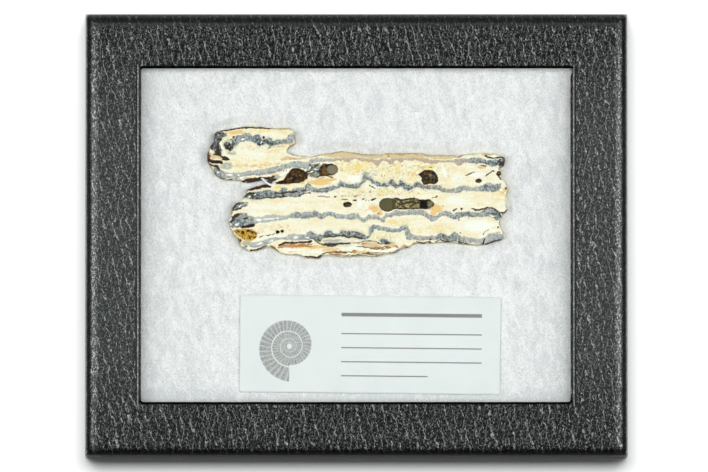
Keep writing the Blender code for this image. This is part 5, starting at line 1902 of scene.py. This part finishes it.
@dataclass
class FibrePad:
    """The polyester pad: a soft mass pressed up under the glass, and loose strands on it.

    Attributes:
        slice_piece: The slice, which presses a pocket into the pad.
        label: Where the card presses on it.
        node: The solid that it stands for.
        cell_mm: The top's grid.
        crown_mm: Mean height of the open top.
        highest_mm: The height that it never passes.
        pocket_gap_mm: The room between the slice's edge and the pad.
        pocket_floor_mm: The height of the pocket's floor.
        pocket_rings_mm: Heights of the rings down to that floor.
        side_rings_mm: Heights of the rings down to the pad's underside.
        under_label_mm: The top's height under the card.
        shoulder_mm: How far in from the sides the top begins to fall.
        strand_radius: A strand's radius.
        wisp_course: Places along the thick wisp over the slice, each with a radius.
    """

    slice_piece: ToothSlice
    label: LabelPlace
    node: str = "batting"
    cell_mm: float = 0.6
    crown_mm: float = 15.72
    highest_mm: float = 16.1
    pocket_gap_mm: float = 0.22
    pocket_floor_mm: float = 9.7
    pocket_rings_mm: Sequence[float] = (13.4, 12.2, 11)
    side_rings_mm: Sequence[float] = (12.6, 9, 5.4)
    under_label_mm: float = 15.3
    shoulder_mm: float = 3
    strand_radius: float = 0.022 * MM
    wisp_course: Sequence[tuple[float, float, float, float]] = (
        (-23.5, 3.5, 16.12, 0.08), (-23.1, 3.3, 16.1, 0.22), (-22.6, 2.8, 16, 0.26),
        (-22, 2.3, 15.95, 0.25), (-21.4, 1.9, 16, 0.25), (-20.8, 1.8, 16.1, 0.3),
        (-20.2, 2.05, 16.12, 0.22), (-19.8, 2.2, 16.12, 0.07),
    )

    def _from_slice(self, x: Array, y: Array) -> Array:
        """Distance outside the slice's outer outline.

        Args:
            x: The points' first coordinates.
            y: Their second coordinates.

        Returns:
            The distance of each point, in millimetres.
        """
        middle_x, middle_y = self.slice_piece.middle_mm
        outer = self.slice_piece.outlines()[0]
        return -signed_distance(x - middle_x, y - middle_y, outer)

    def _from_rim(self, x: Array, y: Array) -> Array:
        """Distance inside the pad's own outline."""
        return np.minimum(self._half[0] - np.abs(x), self._half[1] - np.abs(y))

    def _open(self, x: Array, y: Array) -> Array:
        """Distance inside the pad's open top, which the slice's pocket is cut out of."""
        return np.minimum(self._from_rim(x, y), self._from_slice(x, y) - self.pocket_gap_mm)

    def _height(self, x: Array, y: Array) -> Array:
        """Height of the pad's top.

        Args:
            x: The points' first coordinates.
            y: Their second coordinates.

        Returns:
            The height at each point, in millimetres.
        """
        from_slice = self._from_slice(x, y)
        height = self.crown_mm + 0.22 * ripple(x, y, 0.05, 2, 1)
        height += 0.16 * ripple(x, y, 0.22, 3, 5) + 0.09 * ripple(x, y, 0.8, 3, 9)
        height -= 1.5 * (1 - ease(from_slice, -0.4, 3.2)) + 0.35 * (1 - ease(from_slice, 0, 7))
        under = 1 - ease(self.label.outside(x, y), 0, 0.9)
        height = height * (1 - under) + np.minimum(height, self.under_label_mm) * under
        height -= 0.6 * self.shoulder_mm * (1 - ease(self._from_rim(x, y), 0, self.shoulder_mm))
        return np.minimum(height, self.highest_mm)

    def build(self) -> Object:
        """Builds the pad's mass.

        Returns:
            The pad, not yet fitted out.
        """
        low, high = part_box(self.node)
        self._half = (high.x / MM, high.y / MM)
        reach = tuple(half + 1.3 * self.cell_mm for half in self._half)
        points, faces = cut_sheet(self._open, (-reach[0], -reach[1]), reach, self.cell_mm)
        shell = Shell()
        shell.add_points(zip(*points.T, self._height(*points.T)))
        shell.faces.extend(faces)
        outer, *inner = sorted(border_loops(faces), key=len, reverse=True)
        foot = self._wall(shell, outer, (*self.side_rings_mm, low.z / MM))
        shell.cap([foot], up=False)
        for rim in inner:
            floor = self._wall(shell, rim, (*self.pocket_rings_mm, self.pocket_floor_mm))
            shell.cap([floor], up=True)
        shell.to_metres()
        pad = shell.object("batting_pad", FIBRE)
        self._room = self._strand_room(np.array(shell.points) / MM)
        return pad

    @staticmethod
    def _wall(shell: Shell, rim: Sequence[int], heights: Sequence[float]) -> list[int]:
        """Drops a wall from a loop through rings at the given heights."""
        flat = [shell.points[i][:2] for i in rim]
        return shell.hang(rim, [[(x, y, height) for x, y in flat] for height in heights])

    def _strand_room(self, points: Array) -> Array:
        """How far each point lies from what strands must not cross, in millimetres.

        Args:
            points: The pad's points, in millimetres.

        Returns:
            The room at each, negative where strands don't lie.
        """
        x, y, z = points.T
        room = np.minimum(self._from_slice(x, y), self.label.outside(x, y))
        return np.where(z > 14, np.minimum(room, self._from_rim(x, y)), -1.0)

    def strands(self, pad: Object) -> Object:
        """Scatters loose strands over the pad.

        Args:
            pad: The pad's mass.

        Returns:
            One mesh with every strand.
        """
        mark(pad, "room", self._room * MM)
        tree = StrandTree(self.highest_mm * MM + 0.1 * MM).tree()
        parts = []
        for name, settings in (
            ("long", {"Density": 3.0e5, "Length": 7.0 * MM, "Clearance": 4.2 * MM,
                      "Seed": 11, "Steps": 7, "Wander": 2.2 * MM}),
            ("short", {"Density": 4.5e5, "Length": 2.4 * MM, "Clearance": 1.5 * MM,
                       "Seed": 23, "Steps": 4, "Wander": 0.8 * MM}),
        ):
            settings["Radius"] = self.strand_radius
            parts.append(scattered(pad, tree, f"{name}_strands", settings))
        pad.data.attributes.remove(pad.data.attributes["room"])
        return join_meshes("batting_strands", [*parts, self._wisp()])

    def _wisp(self) -> Object:
        """Builds the thick wisp that has strayed across the slice's cleft.

        Returns:
            The wisp, to be joined to the strands.
        """
        share = np.linspace(0, len(self.wisp_course) - 1, 22)
        knots = np.arange(len(self.wisp_course))
        x, y, z, thick = (np.interp(share, knots, row) for row in zip(*self.wisp_course))
        x, y = x + self.slice_piece.middle_mm[0], y + self.slice_piece.middle_mm[1]
        thick = thick * (1 + 0.25 * ripple(x, y, 2, 2, 4))
        flat = np.minimum(thick, 0.1)
        lean = np.arctan2(np.gradient(y), np.gradient(x)) - math.pi / 2
        shell = Shell()
        rings = []
        for i in range(len(share)):
            turns = [math.tau * corner / 8 for corner in range(8)]
            rings.append(shell.add_points(
                (x[i] + thick[i] * math.cos(turn) * math.cos(lean[i]),
                 y[i] + thick[i] * math.cos(turn) * math.sin(lean[i]),
                 z[i] + flat[i] * math.sin(turn)) for turn in turns
            ))
        for first, second in zip(rings, rings[1:]):
            shell.band(first, second)
        shell.faces.extend([tuple(rings[0]), tuple(reversed(rings[-1]))])
        shell.to_metres()
        return shell.object("cleft_wisp", FIBRE)


@dataclass(frozen=True)
class StrandTree:
    """The Geometry Nodes tree that lays wandering strands on a surface.

    Attributes:
        ceiling: The height that no strand may pass.
        floor: The height that none sinks below.
        lengths: The least and the most that a strand's length is multiplied by.
        sway_scale: How quickly the wandering changes its way, in metres.
    """

    ceiling: float
    floor: float = 13 * MM
    lengths: Point = (0.5, 1.1)
    sway_scale: float = 240

    def tree(self) -> bpy.types.NodeTree:
        """Builds the tree, with named inputs for its sizes.

        Returns:
            The tree.
        """
        tree = bpy.data.node_groups.new("lay_strands", "GeometryNodeTree")
        for name, way, kind in (
            ("Geometry", "INPUT", "Geometry"), ("Geometry", "OUTPUT", "Geometry"),
            ("Density", "INPUT", "Float"), ("Length", "INPUT", "Float"),
            ("Clearance", "INPUT", "Float"), ("Radius", "INPUT", "Float"),
            ("Wander", "INPUT", "Float"), ("Seed", "INPUT", "Int"), ("Steps", "INPUT", "Int"),
        ):
            tree.interface.new_socket(name=name, in_out=way, socket_type=f"NodeSocket{kind}")
        graph = Graph(tree)
        given = graph.node("NodeGroupInput").outputs
        numbers = {"data_type": "FLOAT"}
        room = graph.node("GeometryNodeInputNamedAttribute", numbers, {"Name": "room"})
        allowed = graph.node(
            "FunctionNodeCompare",
            {**numbers, "operation": "GREATER_THAN"},
            {"A": room, "B": given["Clearance"]},
        )
        density = graph.math("MULTIPLY", given["Density"], allowed)
        seeds = graph.node(
            "GeometryNodeDistributePointsOnFaces",
            {"distribute_method": "RANDOM"},
            {"Mesh": given["Geometry"], "Density": density, "Seed": given["Seed"]},
        )
        chance = self._chance(graph, given, 0, 50)
        marked = graph.node(
            "GeometryNodeStoreNamedAttribute",
            {**numbers, "domain": "POINT"},
            {"Geometry": seeds, "Name": "strand", "Value": chance},
        )
        reach = Term(graph, given["Length"]) * 0.5
        line = graph.node(
            "GeometryNodeCurvePrimitiveLine",
            {"mode": "POINTS"},
            {
                "Start": graph.node("ShaderNodeCombineXYZ", None, {"X": -reach}),
                "End": graph.node("ShaderNodeCombineXYZ", None, {"X": reach}),
            },
        )
        strand = graph.node(
            "GeometryNodeResampleCurve", None, {"Curve": line, "Count": given["Steps"]}
        )
        turn = graph.node(
            "FunctionNodeRandomValue",
            {"data_type": "FLOAT_VECTOR"},
            {"Min": (0, 0, 0), "Max": (0, 0, math.pi), "Seed": given["Seed"]},
        )
        size = self._chance(graph, given, *self.lengths)
        laid = graph.node(
            "GeometryNodeInstanceOnPoints",
            None,
            {"Points": marked, "Instance": strand, "Rotation": turn, "Scale": size},
        )
        loose = graph.node("GeometryNodeRealizeInstances", None, {"Geometry": laid})
        profile = graph.node(
            "GeometryNodeCurvePrimitiveCircle",
            {"mode": "RADIUS"},
            {"Resolution": 3, "Radius": given["Radius"]},
        )
        solid = graph.node(
            "GeometryNodeCurveToMesh",
            None,
            {
                "Curve": self._draped(graph, given, loose),
                "Profile Curve": profile,
                "Fill Caps": True,
            },
        )
        real = graph.node("GeometryNodeRealizeInstances", None, {"Geometry": solid})
        finish = {"Geometry": real, "Material": FIBRE.material()}
        finished = graph.node("GeometryNodeSetMaterial", None, finish)
        graph.node("NodeGroupOutput", None, {"Geometry": finished})
        return tree

    @staticmethod
    def _chance(
        graph: Graph, given: bpy.types.bpy_prop_collection, least: float, most: float
    ) -> Socket:
        """A random number for each point, from the tree's seed.

        Args:
            graph: The tree's graph.
            given: Its inputs.
            least: The least number.
            most: The greatest.

        Returns:
            The number's socket.
        """
        inputs = {"Min_001": least, "Max_001": most, "Seed": given["Seed"]}
        made = graph.node("FunctionNodeRandomValue", {"data_type": "FLOAT"}, inputs)
        return made.outputs[1]

    def _draped(self, graph: Graph, given: bpy.types.bpy_prop_collection, strands: Node) -> Node:
        """Lets each strand wander sideways and lie on the surface below it.

        Args:
            graph: The tree's graph.
            given: Its inputs.
            strands: The straight strands.

        Returns:
            The node that moves them.
        """
        place = graph.node("GeometryNodeInputPosition").outputs[0]
        own = graph.node(
            "GeometryNodeInputNamedAttribute", {"data_type": "FLOAT"}, {"Name": "strand"}
        )
        wander = graph.node(
            "ShaderNodeTexNoise",
            {"noise_dimensions": "4D"},
            {"Vector": place, "W": own, "Scale": self.sway_scale, "Detail": 1},
        )
        centred = graph.vector("SUBTRACT", wander.outputs[1], (0.5, 0.5, 0.5))
        push = graph.node(
            "ShaderNodeVectorMath", {"operation": "SCALE"}, {0: centred, "Scale": given["Wander"]}
        )
        moved = graph.vector("ADD", place, push)
        below = graph.node(
            "GeometryNodeRaycast",
            None,
            {
                "Target Geometry": given["Geometry"],
                "Source Position": graph.vector("ADD", moved, (0, 0, 5 * MM)),
                "Ray Direction": (0, 0, -1),
                "Ray Length": 20 * MM,
            },
        )
        lift = (Term(graph, wander.outputs[0]) - 0.42) * (0.9 * MM)
        height = graph.axis(2, below.outputs["Hit Position"]) + lift
        target = graph.node(
            "ShaderNodeCombineXYZ",
            None,
            {
                "X": graph.axis(0, moved),
                "Y": graph.axis(1, moved),
                "Z": height.least(self.ceiling).most(self.floor),
            },
        )
        return graph.node(
            "GeometryNodeSetPosition", None, {"Geometry": strands, "Position": target}
        )


def scattered(
    surface: Object, tree: bpy.types.NodeTree, name: str, settings: Mapping[str, float | int]
) -> Object:
    """Runs a tree on a surface and keeps what it makes as a plain mesh.

    Args:
        surface: The object whose mesh the tree reads.
        tree: The Geometry Nodes tree.
        name: The new object's name.
        settings: The tree's inputs, by name.

    Returns:
        The new object.
    """
    modifier = surface.modifiers.new(tree.name, "NODES")
    modifier.node_group = tree
    for item in tree.interface.items_tree:
        if item.in_out == "INPUT" and item.name in settings:
            modifier[item.identifier] = settings[item.name]
    bpy.context.view_layer.update()
    evaluated = surface.evaluated_get(bpy.context.evaluated_depsgraph_get())
    mesh = bpy.data.meshes.new_from_object(evaluated)
    surface.modifiers.remove(modifier)
    mesh.name = name
    return put(name, mesh)


def join_meshes(name: str, parts: Sequence[Object]) -> Object:
    """Joins plain meshes with one finish into a new smooth object, and removes the parts.

    Args:
        name: The new object's name.
        parts: The objects.

    Returns:
        The new object.
    """
    joined = bmesh.new()
    for part in parts:
        joined.from_mesh(part.data)
    mesh = bpy.data.meshes.new(name)
    joined.to_mesh(mesh)
    joined.free()
    mesh.materials.append(parts[0].data.materials[0])
    mesh.shade_smooth()
    for part in parts:
        bpy.data.objects.remove(part)
    return put(name, mesh)


# ---------------------------------------------------------------------------
# The case
# ---------------------------------------------------------------------------


@dataclass
class LidFrame:
    """The wrapped lid: splayed walls, a flat frame and the turned-in edge of its window.

    Attributes:
        node: The solid that it stands for.
        splay: How far each wall leans out from the top to the foot.
        wall: The walls' thickness.
        board: The frame's thickness.
        edge_radius: The round from the frame into the walls.
        foot_corner: The walls' corner radius at the foot.
        top_corner: The same at the top.
        window: The opening's length and width.
        window_middle: Its middle.
        window_radius: The round of its edge.
        window_corner: Its corners' radius.
        nick: How much wider it is at its rubbed upper right corner.
        spacing: Steps on a long side, a short side and a corner of each loop.
        sag: The most that the top dips.
        flat_half_mm: Half the length and the width of the frame's flat top.
    """

    node: str = "lid"
    splay: float = 1.5 * MM
    wall: float = 1.4 * MM
    board: float = 1.6 * MM
    edge_radius: float = 2.2 * MM
    foot_corner: float = 0.4 * MM
    top_corner: float = 1.1 * MM
    window: Point = (103.7 * MM, 80.6 * MM)
    window_middle: Point = (-0.15 * MM, -0.23 * MM)
    window_radius: float = 0.9 * MM
    window_corner: float = 0.5 * MM
    nick: float = 0.5 * MM
    spacing: tuple[int, int, int] = (150, 120, 6)
    sag: float = 0.07 * MM
    flat_half_mm: Point = (62.9, 50.7)

    def _wall_loop(self, height: float, inset: float = 0) -> list[Place]:
        """A loop of the wall, inset from its outer face.

        Args:
            height: Where it lies.
            inset: How far in.

        Returns:
            The loop's points.
        """
        lean = (height - self._foot) / (self._top - self._foot)
        narrow = 2 * (self.splay * lean + inset)
        radius = self.foot_corner + (self.top_corner - self.foot_corner) * lean
        return rounded_loop(
            self._size[0] - narrow, self._size[1] - narrow, max(radius - inset * 0.4, 0.2 * MM),
            height, self.spacing,
        )

    def build(self) -> Object:
        """Builds the lid.

        Returns:
            The finished piece.
        """
        low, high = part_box(self.node)
        self._size = (high.x - low.x, high.y - low.y)
        self._foot, self._top = low.z, high.z
        loops = self._outer_loops() + self._inner_loops()
        shell = Shell()
        rings = [shell.add_points(self._settled(loop)) for loop in loops]
        for lower, upper in zip(rings, [*rings[1:], rings[0]]):
            shell.band(upper, lower)
        # Painted shade for the edges in shadow, kept at each point.
        painted_shade = self._painted_shade(np.array([point for loop in loops for point in loop]))
        piece = shell.object("leatherette_lid", Leatherette("embossed_leatherette"))
        mark(piece, "painted_shade", painted_shade)
        return fit_out(piece, "case_board", self.node)

    def _outer_loops(self) -> list[list[Place]]:
        """Loops up the outer walls, round the edge and over the frame to the window.

        Returns:
            The loops, in order.
        """
        foot, top, bend = self._foot, self._top, self.edge_radius
        loops = [self._wall_loop(foot, 0.35 * MM)]
        for step in range(13):
            rise = (top - bend - foot - 0.1 * MM) * step / 12
            loops.append(self._wall_loop(foot + 0.1 * MM + rise))
        for step in range(1, 9):
            angle = math.pi / 2 * step / 8
            height = top - bend + bend * math.sin(angle)
            loops.append(self._wall_loop(height, bend * (1 - math.cos(angle))))
        rim, edge = loops[-1], self._window_loop(2 * self.window_radius, top)
        for step in range(1, 24):
            loops.append([between(a, b, step / 24) for a, b in zip(rim, edge)])
        return loops

    def _inner_loops(self) -> list[list[Place]]:
        """Loops down the window's round edge, under the frame and down the inner walls.

        Returns:
            The loops, in order.
        """
        foot, top, bend = self._foot, self._top, self.window_radius
        under = top - self.board
        loops = []
        for step in range(7):
            angle = math.pi / 2 * (1 - step / 6)
            grow = 2 * bend * (1 - math.cos(angle))
            loops.append(self._window_loop(grow, top - bend * (1 - math.sin(angle))))
        for height in (under + 0.5 * MM, under + 0.05 * MM):
            loops.append(self._window_loop(0, height))
        near, far = self._window_loop(0, under), self._wall_loop(under, self.wall)
        for share in (0.02, 0.35, 0.7, 1):
            loops.append([between(a, b, share) for a, b in zip(near, far)])
        for height in (under - 3 * MM, foot + 8 * MM, foot + 3 * MM, foot + 0.1 * MM):
            loops.append(self._wall_loop(height, self.wall))
        return [*loops, self._wall_loop(foot, self.wall - 0.25 * MM)]

    def _painted_shade(self, points: Array) -> Array:
        """How much painted shade covers each point of the board, where its front and back edges
        lie in shade.

        Args:
            points: The lid's points.

        Returns:
            The dullness of each, from 0 to 1.
        """
        x, y, z = points.T / MM
        fall = self._top / MM - z
        beyond_x, beyond_y = np.abs(x) - self.flat_half_mm[0], np.abs(y) - self.flat_half_mm[1]
        ends, outer = beyond_y >= beyond_x, np.maximum(beyond_x, beyond_y) > -3
        back = 0.6 * ease(fall, 0, 0.04) * (1 - ease(fall, 0.3, 0.6))
        front = 0.9 * ease(fall, 0.03, 0.5) * (1 - ease(fall, 7, 16))
        sides = 0.75 * ease(fall, 0.12, 0.4) * (1 - ease(fall, 1, 1.4))
        rim = ease(fall, 0.02, 0.1)
        cases = [outer & ends & (y > 0), outer & ends, outer, ends]
        return np.select(cases, [back, front, sides, rim], 0.0)

    def _window_loop(self, grow: float, height: float) -> list[Place]:
        """A loop round the window, wider than its edge by what is asked.

        Args:
            grow: How much longer and wider it is than the window.
            height: Where it lies.

        Returns:
            The loop's points.
        """
        length, width = self.window
        shift_x, shift_y = self.window_middle
        loop = rounded_loop(
            length + grow, width + grow, self.window_corner + grow / 2, height, self.spacing
        )
        points = []
        for x, y, z in loop:
            up = min(1.0, max(0.0, (2 * y / width - 0.95) / 0.03))
            nick = self.nick * up * (x > 0.4 * length)
            points.append((x + nick + shift_x, y + shift_y, z))
        return points

    def _settled(self, loop: Sequence[Place]) -> list[Place]:
        """Gives the stiff paper a slight hand-made unevenness.

        Args:
            loop: Points of the lid.

        Returns:
            The same points, settled.
        """
        settled = []
        for x, y, z in loop:
            share = (z - self._foot) / (self._top - self._foot)
            sway = 0.5 + 0.5 * noise.noise(Vector((x * 28, y * 28, 3)))
            pinch = 0.5 + 0.5 * noise.noise(Vector((x * 20, y * 20, 7)))
            pull = 1 - 0.0012 * pinch * (share < 0.9)
            lower = self.sag * sway * (z > self._top - 0.2 * MM)
            settled.append((x * pull, y * pull, z - lower))
        return settled


@dataclass
class Tray:
    """The tray: plain card walls, and a base with the wrap turned over its edge.

    Attributes:
        node: The solid that it stands for.
        board: The walls' thickness.
        turn_over: How far the wrap runs in under the base.
        step: How far the base's middle lies above the wrap.
        edge: The small round of its edges.
        corner: Its corners' radius.
        spacing: Steps on a long side, a short side and a corner of each loop.
    """

    node: str = "tray"
    board: float = 1.5 * MM
    turn_over: float = 11 * MM
    step: float = 0.15 * MM
    edge: float = 0.4 * MM
    corner: float = 1 * MM
    spacing: tuple[int, int, int] = (24, 20, 5)

    def build(self) -> Object:
        """Builds the tray.

        Returns:
            The finished piece.
        """
        low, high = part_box(self.node)
        foot, top, edge, over = low.z, high.z, self.edge, self.turn_over
        outside = (  # inset from the outer face, and height
            (over + edge, foot + self.step), (over, foot + 0.02 * MM), (over - 0.2 * MM, foot),
            (2 * MM, foot), (edge, foot), (0.3 * edge, foot + 0.3 * edge), (0, foot + edge),
            (0, (foot + top) / 2), (0, top - edge), (0.3 * edge, top - 0.3 * edge), (edge, top),
        )
        inside = (
            (self.board - edge, top), (self.board, top - edge), (self.board, foot + self.board),
        )
        loops = [
            rounded_loop(
                high.x - low.x - 2 * inset, high.y - low.y - 2 * inset, radius, height,
                self.spacing,
            )
            for profile, radius in ((outside, self.corner), (inside, self.corner / 2))
            for inset, height in profile
        ]
        shell = Shell()
        shell.stack(loops)
        piece = shell.object("paper_tray", BlackPaper("tray_paper"), 50)
        return fit_out(piece, "case_board", self.node)


@dataclass
class Label:
    """The small white card under the glass."""

    place: LabelPlace
    node: str = "label_card"
    corner_mm: float = 0.5
    edge_mm: float = 0.08
    spacing: tuple[int, int, int] = (40, 16, 4)

    def build(self) -> Object:
        """Builds the card and its own millimetre map.

        Returns:
            The finished piece.
        """
        low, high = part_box(self.node)
        bottom, top, edge = low.z / MM, high.z / MM, self.edge_mm
        shell = Shell()
        shell.stack([
            rounded_loop(
                2 * (self.place.half_length - inset), 2 * (self.place.half_width - inset),
                self.corner_mm, height, self.spacing,
            )
            for inset, height in ((edge, bottom), (0, bottom + edge), (0, top - edge), (edge, top))
        ])
        own = [(x, y) for x, y, _ in shell.points]
        turn = Matrix.Rotation(math.radians(self.place.turn_deg), 2)
        spots = [turn @ Vector(place) + Vector(self.place.middle) for place in own]
        shell.points = [(spot.x, spot.y, z) for spot, (_, _, z) in zip(spots, shell.points)]
        shell.to_metres()
        piece = shell.object("label", LabelPaper("printed_card"), 40)
        layer = piece.data.uv_layers.new(name="label_mm")
        for corner in piece.data.loops:
            layer.data[corner.index].uv = own[corner.vertex_index]
        return fit_out(piece, "label_paper", self.node)


# ---------------------------------------------------------------------------
# The studio
# ---------------------------------------------------------------------------


class Shine(Enum):
    """What a lamp gives, as diffuse and glossy: soft light, or the shine on glossy surfaces."""

    SOFT = (True, False)
    GLOSS = (False, True)


class Lit(Enum):
    """What a lamp lights: the case or the floor under it."""

    CASE = "EXCLUDE"
    FLOOR = "INCLUDE"


@dataclass(frozen=True)
class Softbox:
    """A soft lamp.

    Attributes:
        name: Its name.
        place: Where it stands.
        size: Its width and its length.
        watts: Its power.
        shine: What it gives.
        lit: What it lights.
        aim: Where it points.
    """

    name: str
    place: Place
    size: Point
    watts: float
    shine: Shine = Shine.SOFT
    lit: Lit = Lit.CASE
    aim: Place = (0, 0, 0.015)

    def put_up(self, floor: Object) -> None:
        """Adds the lamp, and tells it what it lights.

        Args:
            floor: The studio's floor.
        """
        lamp = bpy.data.lights.new(self.name, "AREA")
        lamp.shape = "RECTANGLE"
        lamp.size, lamp.size_y = self.size
        lamp.energy = self.watts
        made = put(self.name, lamp)
        made.location = self.place
        direction = Vector(self.aim) - Vector(self.place)
        made.rotation_euler = direction.to_track_quat("-Z", "Y").to_euler()
        made.visible_diffuse, made.visible_glossy = self.shine.value
        made.visible_transmission = False
        receivers = bpy.data.collections.new(f"{self.name}_receivers")
        receivers.objects.link(floor)
        receivers.collection_objects[0].light_linking.link_state = self.lit.value
        made.light_linking.receiver_collection = receivers


@dataclass(frozen=True)
class Studio:
    """The floor, the lamps and the camera.

    Attributes:
        image_width: The picture's width in pixels.
        focal_pixels: The lens's focal length in the same pixels.
        sensor: The sensor's width in millimetres.
        distance: How far the camera stands from its aim.
        tilt_deg: How far it leans to the front from straight above.
        aim: The place in the middle of the picture.
        sky: The colour of the dim light from all round.
        sky_strength: Its strength.
        floor_half: Half the floor's width.
        lamps: The lamps.
    """

    image_width: int = 708
    focal_pixels: float = 4144.75
    sensor: float = 36
    distance: float = 1
    tilt_deg: float = 1
    aim: Place = (-0.590 * MM, -0.479 * MM, 20 * MM)
    sky: Colour = (0.95, 0.96, 0.97)
    sky_strength: float = 0.12
    floor_half: float = 1.5
    lamps: Sequence[Softbox] = (
        Softbox("left_box", (-0.5, 0, 0.76), (0.5, 0.8), 3.8),
        Softbox("right_box", (0.5, 0, 0.76), (0.5, 0.8), 3.8),
        Softbox("left_gloss", (-0.6, 0, 0.66), (0.48, 0.8), 10, Shine.GLOSS),
        Softbox("right_gloss", (0.6, 0, 0.66), (0.48, 0.8), 10, Shine.GLOSS),
        Softbox("overhead_box", (0, 0.2, 1.15), (0.6, 0.5), 4.2),
        Softbox("floor_box", (0, 0.24, 1.17), (0.5, 0.27), 19, lit=Lit.FLOOR),
    )

    def set_up(self) -> None:
        """Adds everything that isn't part of the case."""
        scene = bpy.context.scene
        scene.view_settings.view_transform = "Standard"
        floor = self._floor()
        scene.world = bpy.data.worlds.new("sky")
        scene.world.use_nodes = True
        background = scene.world.node_tree.nodes["Background"]
        sky = {"Color": self.sky, "Strength": self.sky_strength}
        Graph(scene.world.node_tree).wire(background, sky)
        for lamp in self.lamps:
            lamp.put_up(floor)
        lens = bpy.data.cameras.new("camera")
        lens.sensor_width = self.sensor
        lens.lens = self.sensor * self.focal_pixels / self.image_width
        lens.clip_start, lens.clip_end = 0.01, 10
        camera = put("camera", lens)
        tilt = math.radians(self.tilt_deg)
        back = Vector((0, -math.sin(tilt), math.cos(tilt)))
        camera.location = Vector(self.aim) + back * self.distance
        camera.rotation_euler = (tilt, 0, 0)
        scene.camera = camera

    def _floor(self) -> Object:
        """Lays the floor under the case.

        Returns:
            The floor.
        """
        half = self.floor_half
        shell = Shell()
        corners = [(-half, -half, 0), (half, -half, 0), (half, half, 0), (-half, half, 0)]
        shell.faces.append(tuple(shell.add_points(corners)))
        floor = shell.object("floor", StudioPaper("floor_paper"))
        return floor


def report(piece: Object) -> None:
    """Logs a finished piece and how many triangles it shows."""
    triangles = sum(len(face.vertices) - 2 for face in piece.data.polygons)
    LOG.info("%s: %d triangles", piece.name, triangles)


def main() -> None:
    """Loads the frame, builds every piece over it and sets up the studio."""
    logging.basicConfig(level=logging.INFO, format="%(name)s %(message)s")
    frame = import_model()
    tooth = ToothSlice()
    report(tooth.build())
    place = LabelPlace()
    filling = FibrePad(tooth, place)
    pad = filling.build()
    strands = filling.strands(pad)
    fit_out(pad, "batting_fibre", filling.node)
    fit_out(strands, "batting_fibre")
    report(pad)
    report(strands)
    report(LidFrame().build())
    report(Tray().build())
    report(Label(place).build())
    pane = frame["nodes"]["glass_pane"]
    pane.data.materials.clear()
    pane.data.materials.append(PaneGlass("clear_pane").material())
    report(pane)
    Studio().set_up()


if __name__ == "__main__":
    main()
